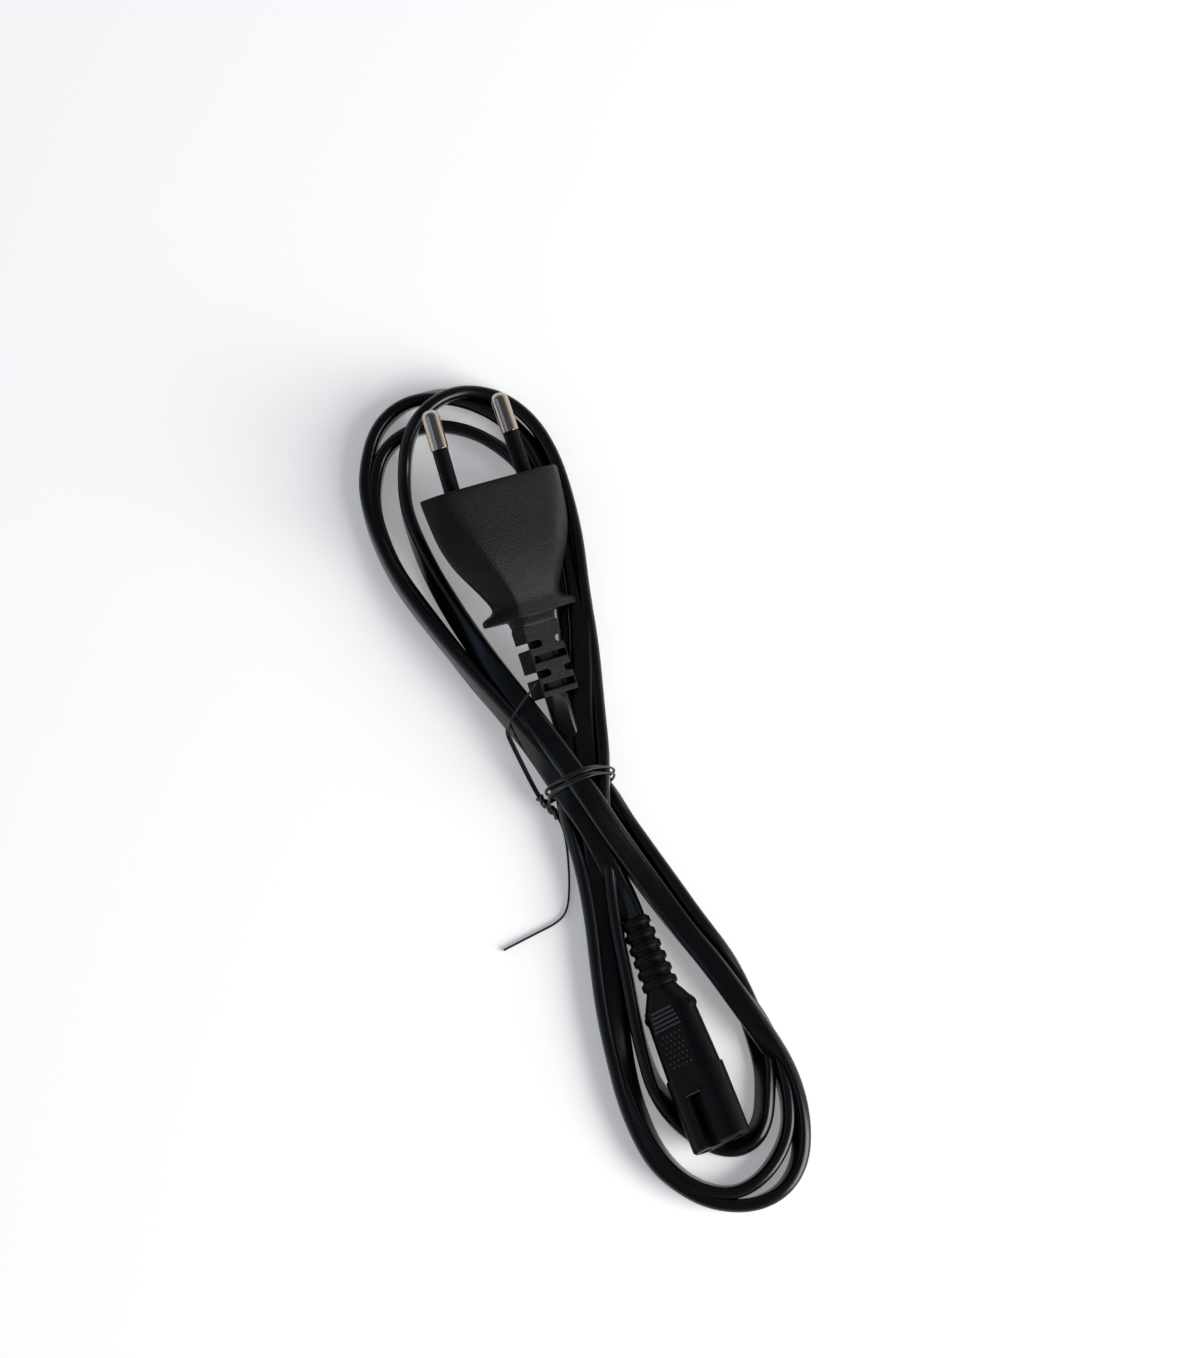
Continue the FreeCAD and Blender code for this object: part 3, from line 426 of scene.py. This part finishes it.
cut.operation = "DIFFERENCE"
cut.solver = "EXACT"
cut.object = cutter
cut_mesh = evaluated_mesh(relief, "plug_relief_cut")
relief.modifiers.clear()
relief.data = cut_mesh
bpy.data.objects.remove(cutter)
edge_radius = relief.modifiers.new("edge_radius", "BEVEL")
edge_radius.width = RELIEF_EDGE
edge_radius.segments = 2
edge_radius.limit_method = "ANGLE"
edge_radius.harden_normals = True
cut_mesh.polygons.foreach_set("use_smooth", [True] * len(cut_mesh.polygons))
print("relief:", len(cut_mesh.polygons), "faces")

# %% [markdown]
# The cord doesn't stop at the relief's end: it runs on inside, where the pockets lay it bare. A short
# straight sweep with the same section and the lean of the cord's first point stands for that stretch.

# %% The cord's sheath inside the relief, seen through the pockets
SHEATH_BEHIND_FACE = (-36.8, -43.0, -49.3)
SHEATH_LEAN = ROUTE[0][3]
SHEATH_ROUTE = [(*(to_plug(0, y, 0) / MM), SHEATH_LEAN) for y in SHEATH_BEHIND_FACE]
sheath = sweep("sheath_in_relief", SHEATH_ROUTE, CORD_WIDTH, CORD_THICKNESS, CORD_CORNER)[0]
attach(sheath, "root")
print("sheath in the relief:", len(sheath.data.polygons), "faces")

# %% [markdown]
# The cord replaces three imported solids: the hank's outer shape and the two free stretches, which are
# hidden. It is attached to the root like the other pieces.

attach(cord, "root")
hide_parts("cord_hank", "cord_lead_connector", "cord_lead_plug")

# %% [markdown]
# ## Floor and light
# A white floor fills the picture. It lies a hair below the lead, so that nothing that rests on it
# flickers.

# %% Floor
FLOOR_SIZE = 3.0
FLOOR_DROP = 0.02 * MM
floor_bm = bmesh.new()
bmesh.ops.create_grid(floor_bm, x_segments=1, y_segments=1, size=FLOOR_SIZE / 2)
floor = object_from("floor", floor_bm)
floor.location.z = -FLOOR_DROP
print("floor:", FLOOR_SIZE, "m wide")

# %% [markdown]
# The key lamp is a large soft panel on the right, about 30 degrees above the floor and a little towards
# the viewer, so the shadows fall wide and soft to the left. A faint bluish lamp on the left keeps the
# dark flanks of the cord from going dead. Both are placed in the picture's own directions.

# %% Two lamps
RIGHT = Vector((math.cos(CAMERA_YAW), math.sin(CAMERA_YAW), 0))
AWAY = Vector((-math.sin(CAMERA_YAW), math.cos(CAMERA_YAW), 0))


def area_lamp(name, right, away, height, size, watts, colour):
    """Square lamp, placed so many metres right, away and up from the point that the camera aims at."""
    data = bpy.data.lights.new(name, "AREA")
    data.color = colour
    data.size = size
    data.energy = watts
    lamp = bpy.data.objects.new(name, data)
    bpy.context.scene.collection.objects.link(lamp)
    place = AIM + RIGHT * right + AWAY * away + Vector((0, 0, height))
    turn = (AIM - place).to_track_quat("-Z", "Y").to_matrix().to_4x4()
    lamp.matrix_world = Matrix.Translation(place) @ turn
    print(name, "lamp:", watts, "W")


area_lamp("cool_fill", right=-0.6, away=-0.1, height=0.8, size=0.5, watts=0.5, colour=(0.4, 0.6, 1.0))
area_lamp("key", right=1.1, away=-0.42, height=0.66, size=0.9, watts=24.0, colour=(1.0, 0.993, 0.98))

# %% [markdown]
# The floor keeps the lead's shadow, and its white comes from a glow that only the camera and
# reflections see. Near the lead the glow is faint, so that the shadows stay. Further out it grows until
# the floor is plain white.


# %% Floor that is white to the camera
def new_material(name):
    """Material with nodes, its tree and its Principled shader."""
    material = bpy.data.materials.new(name)
    material.use_nodes = True
    return material, material.node_tree, material.node_tree.nodes["Principled BSDF"]


def add(tree, kind, **settings):
    """Node of a kind, with its settings and the values of its named or numbered inputs."""
    node = tree.nodes.new(kind)
    for key, value in settings.items():
        if key == "inputs":
            for socket, number in value.items():
                node.inputs[socket].default_value = number
        else:
            setattr(node, key, value)
    return node


def smooth_range(tree, low, high, at_low, at_high):
    """Map Range node that leads smoothly from one value to another between two inputs."""
    return add(tree, "ShaderNodeMapRange", interpolation_type="SMOOTHSTEP",
               inputs={"From Min": low, "From Max": high, "To Min": at_low, "To Max": at_high})


FLOOR_WHITE = (0.95, 0.95, 0.95, 1)
FLOOR_GLOW = 0.26
WHITE_FROM = 0.3
WHITE_AT = 0.7
FULL_WHITE = 1.0
floor_material, tree, shader = new_material("floor_white")
shader.inputs["Base Color"].default_value = FLOOR_WHITE
shader.inputs["Roughness"].default_value = 0.9
shader.inputs["Specular IOR Level"].default_value = 0.1
shader.inputs["Emission Color"].default_value = (1, 1, 1, 1)
path = add(tree, "ShaderNodeLightPath")
seen = add(tree, "ShaderNodeMath", operation="MAXIMUM")
glow = add(tree, "ShaderNodeMath", operation="MULTIPLY")
where = add(tree, "ShaderNodeTexCoord")
far = add(tree, "ShaderNodeVectorMath", operation="DISTANCE", inputs={1: AIM})
fade = smooth_range(tree, WHITE_FROM, WHITE_AT, FLOOR_GLOW, FULL_WHITE)
tree.links.new(where.outputs["Object"], far.inputs[0])
tree.links.new(far.outputs["Value"], fade.inputs[0])
tree.links.new(fade.outputs[0], glow.inputs[1])
tree.links.new(path.outputs["Is Camera Ray"], seen.inputs[0])
tree.links.new(path.outputs["Is Glossy Ray"], seen.inputs[1])
tree.links.new(seen.outputs[0], glow.inputs[0])
tree.links.new(glow.outputs[0], shader.inputs["Emission Strength"])
floor.data.materials.append(floor_material)
print("floor glow:", FLOOR_GLOW, "near the lead,", FULL_WHITE, "from", WHITE_AT, "m")

# %% [markdown]
# The world is a white studio wall near the horizon and a dimmer ceiling above. Seen by the camera and
# in reflections the wall is plain white, so level views have a white background, while black plastic
# that faces the ceiling stays black. The ranges are heights on the sky, from 0 at the horizon to 1
# overhead.

# %% World with a white wall and a dim ceiling
WALL_LIGHT = 0.6
CEILING_LIGHT = 0.12
WALL_COLOUR = (1.0, 1.0, 1.0, 1)
CEILING_COLOUR = (0.88, 0.93, 1.0, 1)
LIGHT_FALLS = (0.2, 0.8)
WHITE_FADES = (0.15, 0.4)
COLOUR_TURNS = (0.3, 0.8)
world = bpy.data.worlds.new("world")
bpy.context.scene.world = world
world.use_nodes = True
tree = world.node_tree
sky = tree.nodes["Background"]
tint = add(tree, "ShaderNodeMix", data_type="RGBA", inputs={"A": CEILING_COLOUR, "B": WALL_COLOUR})
direction = add(tree, "ShaderNodeTexCoord")
height = add(tree, "ShaderNodeSeparateXYZ")
fall = smooth_range(tree, *LIGHT_FALLS, WALL_LIGHT, CEILING_LIGHT)
wall = smooth_range(tree, *WHITE_FADES, FULL_WHITE, 0.0)
wall_share = smooth_range(tree, *COLOUR_TURNS, 1.0, 0.0)
path = add(tree, "ShaderNodeLightPath")
seen = add(tree, "ShaderNodeMath", operation="MAXIMUM")
mirrored = add(tree, "ShaderNodeMath", operation="MAXIMUM")
white = add(tree, "ShaderNodeMath", operation="MULTIPLY")
strength = add(tree, "ShaderNodeMath", operation="MAXIMUM")
links = tree.links
links.new(direction.outputs["Generated"], height.inputs[0])
links.new(height.outputs["Z"], fall.inputs[0])
links.new(height.outputs["Z"], wall.inputs[0])
links.new(path.outputs["Is Camera Ray"], seen.inputs[0])
links.new(path.outputs["Is Glossy Ray"], seen.inputs[1])
links.new(seen.outputs[0], mirrored.inputs[0])
links.new(path.outputs["Is Transmission Ray"], mirrored.inputs[1])
links.new(mirrored.outputs[0], white.inputs[0])
links.new(wall.outputs[0], white.inputs[1])
links.new(fall.outputs[0], strength.inputs[0])
links.new(white.outputs[0], strength.inputs[1])
links.new(strength.outputs[0], sky.inputs["Strength"])
links.new(height.outputs["Z"], wall_share.inputs[0])
links.new(wall_share.outputs[0], tint.inputs["Factor"])
links.new(tint.outputs["Result"], sky.inputs["Color"])
print("world: wall", WALL_LIGHT, "and ceiling", CEILING_LIGHT)

# %% [markdown]
# ## Materials
# All that shows, except the metal, is black or nearly black plastic, so the finishes differ in gloss and
# grain more than in colour. Three node groups serve them all. "moulded_grain" is the fine texture of a
# moulding tool. "drawn_lines" is the faint lengthwise texture that extrusion leaves on a cord, and it
# follows the cord's own UV map, so it runs along every bend. "open_surface" is a mask that falls in
# narrow gaps, and there the colour is darkened as painted shade.


# %% Node group: fine grain of a moulding
def group_with(name, inputs, outputs):
    """Empty node group with named float or vector sockets, and its two end nodes."""
    group = bpy.data.node_groups.new(name, "ShaderNodeTree")
    for title, kind, value in inputs:
        socket = group.interface.new_socket(title, in_out="INPUT", socket_type=kind)
        if value is not None:
            socket.default_value = value
    for title, kind in outputs:
        group.interface.new_socket(title, in_out="OUTPUT", socket_type=kind)
    return group, group.nodes.new("NodeGroupInput"), group.nodes.new("NodeGroupOutput")


FLOAT, VECTOR = "NodeSocketFloat", "NodeSocketVector"
moulded_grain, start, end = group_with(
    "moulded_grain",
    [("Position", VECTOR, None), ("Grain", FLOAT, 4000.0), ("Smooth", FLOAT, 0.4), ("Rough", FLOAT, 0.5)],
    [("Height", FLOAT), ("Roughness", FLOAT), ("Mottle", FLOAT)],
)
speck = add(moulded_grain, "ShaderNodeMapRange", inputs={"From Min": 0.35, "From Max": 0.65})
fine = add(moulded_grain, "ShaderNodeTexNoise", inputs={"Detail": 2.0, "Roughness": 0.6})
broad = add(moulded_grain, "ShaderNodeTexNoise", inputs={"Scale": 140.0, "Detail": 3.0})
sheen = add(moulded_grain, "ShaderNodeMapRange", inputs={"From Min": 0.3, "From Max": 0.7})
links = moulded_grain.links
links.new(start.outputs["Position"], fine.inputs["Vector"])
links.new(start.outputs["Grain"], fine.inputs["Scale"])
links.new(start.outputs["Position"], broad.inputs["Vector"])
links.new(broad.outputs["Fac"], sheen.inputs["Value"])
links.new(start.outputs["Smooth"], sheen.inputs["To Min"])
links.new(start.outputs["Rough"], sheen.inputs["To Max"])
links.new(fine.outputs["Fac"], end.inputs["Height"])
links.new(sheen.outputs[0], end.inputs["Roughness"])
links.new(fine.outputs["Fac"], speck.inputs["Value"])
links.new(speck.outputs[0], end.inputs["Mottle"])
print("group", moulded_grain.name, [socket.name for socket in moulded_grain.interface.items_tree])

# %% Node group: lines along an extruded cord
LINE_STRETCH = (6.0, 1.0, 1.0)
drawn_lines, start, end = group_with(
    "drawn_lines",
    [
        ("Along and Around", VECTOR, None), ("Lines", FLOAT, 30.0),
        ("Smooth", FLOAT, 0.3), ("Rough", FLOAT, 0.4),
    ],
    [("Height", FLOAT), ("Roughness", FLOAT), ("Mottle", FLOAT)],
)
stretch = add(drawn_lines, "ShaderNodeMapping")
stretch.inputs["Scale"].default_value = LINE_STRETCH
fine = add(drawn_lines, "ShaderNodeTexNoise", inputs={"Detail": 2.0})
sheen = add(drawn_lines, "ShaderNodeMapRange", inputs={"From Min": 0.35, "From Max": 0.65})
links = drawn_lines.links
links.new(start.outputs["Along and Around"], stretch.inputs["Vector"])
links.new(stretch.outputs[0], fine.inputs["Vector"])
links.new(start.outputs["Lines"], fine.inputs["Scale"])
links.new(fine.outputs["Fac"], sheen.inputs["Value"])
links.new(start.outputs["Smooth"], sheen.inputs["To Min"])
links.new(start.outputs["Rough"], sheen.inputs["To Max"])
links.new(fine.outputs["Fac"], end.inputs["Height"])
links.new(sheen.outputs[0], end.inputs["Roughness"])
links.new(fine.outputs["Fac"], end.inputs["Mottle"])
print("group", drawn_lines.name, [socket.name for socket in drawn_lines.interface.items_tree])

# %% Node group: mask for painted shade in narrow gaps
open_surface, start, end = group_with(
    "open_surface", [("Reach", FLOAT, 0.001), ("Darkest", FLOAT, 0.1)], [("Openness", FLOAT)],
)
# Ambient occlusion finds the narrow gaps, where the colour is then darkened as painted shade.
shade = add(open_surface, "ShaderNodeAmbientOcclusion", samples=8)
dim = add(open_surface, "ShaderNodeMapRange", inputs={"From Min": 0.25, "From Max": 0.75, "To Max": 1.0})
links = open_surface.links
links.new(start.outputs["Reach"], shade.inputs["Distance"])
links.new(start.outputs["Darkest"], dim.inputs["To Min"])
links.new(shade.outputs["AO"], dim.inputs["Value"])
links.new(dim.outputs[0], end.inputs["Openness"])
print("group", open_surface.name, [socket.name for socket in open_surface.interface.items_tree])

# %% [markdown]
# A finish is one Principled material. A node group gives its roughness, its bump and a mottle that
# mixes two close colours. Some finishes also round the edges in the shading, or paint shade into the
# colour of the gaps that are narrower than a given width.

# %% A finish: one group, two close colours, a bump
# Near-black colour of the painted shade in narrow gaps.
PAINTED_SHADE = (0.0005, 0.0005, 0.0005, 1)


def paint(obj, material):
    """Give an object one material."""
    obj.data.materials.clear()
    obj.data.materials.append(material)


def finish(name, group, values, dark, light, bump, specular, metallic=0.0, coordinate="Object",
           edge=0.0, crevice_shade=0.0):
    """Principled material from a node group; bump, edge and the reach of painted gap shade are widths in
    metres.
    """
    material, tree, shader = new_material(name)
    shader.inputs["Metallic"].default_value = metallic
    shader.inputs["Specular IOR Level"].default_value = specular
    where = add(tree, "ShaderNodeTexCoord")
    texture = add(tree, "ShaderNodeGroup", node_tree=group)
    for title, value in values.items():
        texture.inputs[title].default_value = value
    colour = add(tree, "ShaderNodeMix", data_type="RGBA")
    colour.inputs["A"].default_value = (*dark, 1)
    colour.inputs["B"].default_value = (*light, 1)
    relief = add(tree, "ShaderNodeBump", inputs={"Strength": 1.0, "Distance": bump})
    tree.links.new(where.outputs[coordinate], texture.inputs[0])
    tree.links.new(texture.outputs["Mottle"], colour.inputs["Factor"])
    tree.links.new(colour.outputs["Result"], shader.inputs["Base Color"])
    tree.links.new(texture.outputs["Roughness"], shader.inputs["Roughness"])
    tree.links.new(texture.outputs["Height"], relief.inputs["Height"])
    tree.links.new(relief.outputs["Normal"], shader.inputs["Normal"])
    # Painted shade: the colour goes to near-black where the gap mask is low.
    if crevice_shade:
        mask = add(tree, "ShaderNodeGroup", node_tree=open_surface, inputs={"Reach": crevice_shade})
        shaded_colour = add(tree, "ShaderNodeMix", data_type="RGBA", inputs={"A": PAINTED_SHADE})
        tree.links.new(mask.outputs["Openness"], shaded_colour.inputs["Factor"])
        tree.links.new(colour.outputs["Result"], shaded_colour.inputs["B"])
        tree.links.new(shaded_colour.outputs["Result"], shader.inputs["Base Color"])
    if edge:
        rounded = add(tree, "ShaderNodeBevel", samples=6, inputs={"Radius": edge})
        tree.links.new(rounded.outputs["Normal"], relief.inputs["Normal"])
    return material


# %% The plastics and the metals
cord_pvc = finish(
    "cord_pvc", drawn_lines, {"Lines": 30.0, "Smooth": 0.2, "Rough": 0.28},
    dark=(0.0008, 0.0010, 0.0014), light=(0.0017, 0.0020, 0.0028),
    bump=0.008 * MM, specular=0.36, coordinate="UV",
)
plug_pvc = finish(
    "plug_pvc", moulded_grain, {"Grain": 2600.0, "Smooth": 0.42, "Rough": 0.50},
    dark=(0.0010, 0.0011, 0.0010), light=(0.0056, 0.0057, 0.0050),
    bump=0.13 * MM, specular=0.18, edge=0.25 * MM, crevice_shade=1.6 * MM,
)
connector_pvc = finish(
    "connector_pvc", moulded_grain, {"Grain": 5200.0, "Smooth": 0.34, "Rough": 0.44},
    dark=(0.0018, 0.0019, 0.0023), light=(0.0030, 0.0031, 0.0037),
    bump=0.012 * MM, specular=0.12, edge=0.2 * MM, crevice_shade=1.0 * MM,
)
pin_nickel = finish(
    "pin_nickel", moulded_grain, {"Grain": 9000.0, "Smooth": 0.09, "Rough": 0.15},
    dark=(0.40, 0.335, 0.285), light=(0.47, 0.40, 0.345),
    bump=0.001 * MM, specular=0.5, metallic=1.0, edge=0.15 * MM,
)
sleeve_plastic = finish(
    "sleeve_plastic", moulded_grain, {"Grain": 6000.0, "Smooth": 0.36, "Rough": 0.44},
    dark=(0.0012, 0.0013, 0.0015), light=(0.0020, 0.0021, 0.0024),
    bump=0.008 * MM, specular=0.1, edge=0.15 * MM,
)
tie_plastic = finish(
    "tie_plastic", drawn_lines, {"Lines": 24.0, "Smooth": 0.26, "Rough": 0.36},
    dark=(0.0045, 0.0048, 0.0054), light=(0.0080, 0.0084, 0.0090),
    bump=0.006 * MM, specular=0.5, coordinate="UV",
)
insert_plastic = finish(
    "insert_plastic", moulded_grain, {"Grain": 5000.0, "Smooth": 0.4, "Rough": 0.5},
    dark=(0.0030, 0.0030, 0.0032), light=(0.0050, 0.0050, 0.0052),
    bump=0.01 * MM, specular=0.2,
)
contact_brass = finish(
    "contact_brass", moulded_grain, {"Grain": 8000.0, "Smooth": 0.22, "Rough": 0.32},
    dark=(0.62, 0.42, 0.18), light=(0.74, 0.53, 0.25),
    bump=0.003 * MM, specular=0.5, metallic=1.0,
)
core_blue = finish(
    "core_blue", moulded_grain, {"Grain": 4000.0, "Smooth": 0.36, "Rough": 0.46},
    dark=(0.012, 0.045, 0.22), light=(0.018, 0.062, 0.28),
    bump=0.008 * MM, specular=0.3,
)
core_brown = finish(
    "core_brown", moulded_grain, {"Grain": 4000.0, "Smooth": 0.36, "Rough": 0.46},
    dark=(0.075, 0.026, 0.010), light=(0.105, 0.038, 0.016),
    bump=0.008 * MM, specular=0.3,
)
print("materials:", sorted(material.name for material in bpy.data.materials if material.use_nodes))

# %% [markdown]
# The tops of the grip bars and of the small lip behind the groove get a lighter colour than the panel:
# a painted highlight, where the light catches their rounded tops. Their mask comes from where a point
# lies in the connector's own directions, which a Mapping node of type Texture works out from the
# Object coordinates.

# %% Painted highlight on the tops of the grip bars and the lip
CONNECTOR_AT = Vector((0.0, -26.0455, 9.7328)) * MM
CONNECTOR_TURN = Matrix.Rotation(math.radians(-7.2), 3, "X") @ Matrix.Rotation(math.radians(-32.0), 3, "Y")
BAR_ZONE = (26.7 * MM, 31.8 * MM)
LIP_ZONE = (11.6 * MM, 11.95 * MM)
TOP_AT = 3.72 * MM
LIP_RISE = 0.25 * MM
# Lighter colour of the painted highlight on the bar and lip tops.
PAINTED_HIGHLIGHT = (0.060, 0.062, 0.072)


def paint_top_highlight(material, colour):
    """Mix a painted highlight colour into a material where the bars and the lip stand up."""
    tree = material.node_tree
    shader = tree.nodes["Principled BSDF"]
    base = shader.inputs["Base Color"].links[0].from_socket
    where = add(tree, "ShaderNodeTexCoord")
    local = add(tree, "ShaderNodeMapping", vector_type="TEXTURE")
    local.inputs["Location"].default_value = CONNECTOR_AT
    local.inputs["Rotation"].default_value = CONNECTOR_TURN.to_euler("XYZ")
    parts = add(tree, "ShaderNodeSeparateXYZ")
    tree.links.new(where.outputs["Object"], local.inputs["Vector"])
    tree.links.new(local.outputs[0], parts.inputs[0])
    up = add(tree, "ShaderNodeMath", operation="ABSOLUTE")
    tree.links.new(parts.outputs["Z"], up.inputs[0])
    masks = []
    for low, high, top in ((*BAR_ZONE, TOP_AT), (*LIP_ZONE, TOP_AT + LIP_RISE)):
        above = add(tree, "ShaderNodeMath", operation="GREATER_THAN", inputs={1: top})
        middle = add(tree, "ShaderNodeMath", operation="COMPARE",
                     inputs={1: (low + high) / 2, 2: (high - low) / 2})
        both = add(tree, "ShaderNodeMath", operation="MULTIPLY")
        tree.links.new(up.outputs[0], above.inputs[0])
        tree.links.new(parts.outputs["Y"], middle.inputs[0])
        tree.links.new(above.outputs[0], both.inputs[0])
        tree.links.new(middle.outputs[0], both.inputs[1])
        masks.append(both)
    either = add(tree, "ShaderNodeMath", operation="MAXIMUM")
    tree.links.new(masks[0].outputs[0], either.inputs[0])
    tree.links.new(masks[1].outputs[0], either.inputs[1])
    # Painted highlight: the lighter colour goes where the tops stand up.
    highlight_mix = add(tree, "ShaderNodeMix", data_type="RGBA")
    highlight_mix.inputs["B"].default_value = (*colour, 1)
    tree.links.new(either.outputs[0], highlight_mix.inputs["Factor"])
    tree.links.new(base, highlight_mix.inputs["A"])
    tree.links.new(highlight_mix.outputs["Result"], shader.inputs["Base Color"])


paint_top_highlight(connector_pvc, PAINTED_HIGHLIGHT)
print("lighter above", TOP_AT / MM, "mm from the connector's axis")

# %% [markdown]
# Between the bars and the seam each panel has rows of small grip dots in a staggered grid. Every dot is
# a small ball of few faces, placed in the connector's own directions and pressed half into the panel.
# Their plastic is much lighter than the panel's, as a painted highlight on their tops.

# %% Grip dots on both panels
DOT_RADIUS = 0.24 * MM
DOT_PITCH = 1.15 * MM
DOT_STAGGER = 0.25
DOT_ROWS = 7
DOTS_PER_ROW = 5
DOTS_FROM = 18.6 * MM
PANEL_TOP = 3.95 * MM
dots_bm = bmesh.new()
for side in (1, -1):
    for row in range(DOT_ROWS):
        for column in range(DOTS_PER_ROW):
            across = (column - (DOTS_PER_ROW - 1) / 2 + DOT_STAGGER * (-1) ** row) * DOT_PITCH
            local = Vector((across, DOTS_FROM + row * DOT_PITCH, side * PANEL_TOP))
            place = Matrix.Translation(CONNECTOR_AT + CONNECTOR_TURN @ local) @ CONNECTOR_TURN.to_4x4()
            bmesh.ops.create_icosphere(dots_bm, subdivisions=2, radius=DOT_RADIUS, matrix=place)
for face in dots_bm.faces:
    face.smooth = True
dots = link_piece("grip_dots", dots_bm, [])
# The dots' plastic is much lighter than the panel's: a painted highlight on their tops.
dot_highlight_pvc = finish(
    "dot_highlight_pvc", moulded_grain, {"Grain": 5200.0, "Smooth": 0.28, "Rough": 0.36},
    dark=(0.014, 0.0145, 0.017), light=(0.026, 0.027, 0.031),
    bump=0.006 * MM, specular=0.4,
)
paint(dots, dot_highlight_pvc)
print("grip dots:", len(dots.data.polygons), "faces")

# %% [markdown]
# Last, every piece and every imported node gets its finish. The sheath inside the relief lies in the dark
# on the real plug, so it takes the duller black of the pin sleeves.

# %% Give every piece its finish
paint(cord, cord_pvc)
paint(tie, tie_plastic)
paint(twist, tie_plastic)
paint(plug_skin, plug_pvc)
paint(relief, plug_pvc)
paint(sheath, sleeve_plastic)
NODE_FINISH = {
    "connector_body": connector_pvc,
    "contact_carrier": insert_plastic, "pin_bridge": insert_plastic,
    "contact_left": contact_brass, "contact_right": contact_brass,
    "plug_pin_left": pin_nickel, "plug_pin_right": pin_nickel,
    "pin_sleeve_left": sleeve_plastic, "pin_sleeve_right": sleeve_plastic,
    "connector_core_left": core_blue, "connector_core_right": core_brown,
    "plug_core_left": core_blue, "plug_core_right": core_brown,
}
for name, material in NODE_FINISH.items():
    paint(nodes[name], material)
print("packed nodes with a finish:", len(NODE_FINISH))
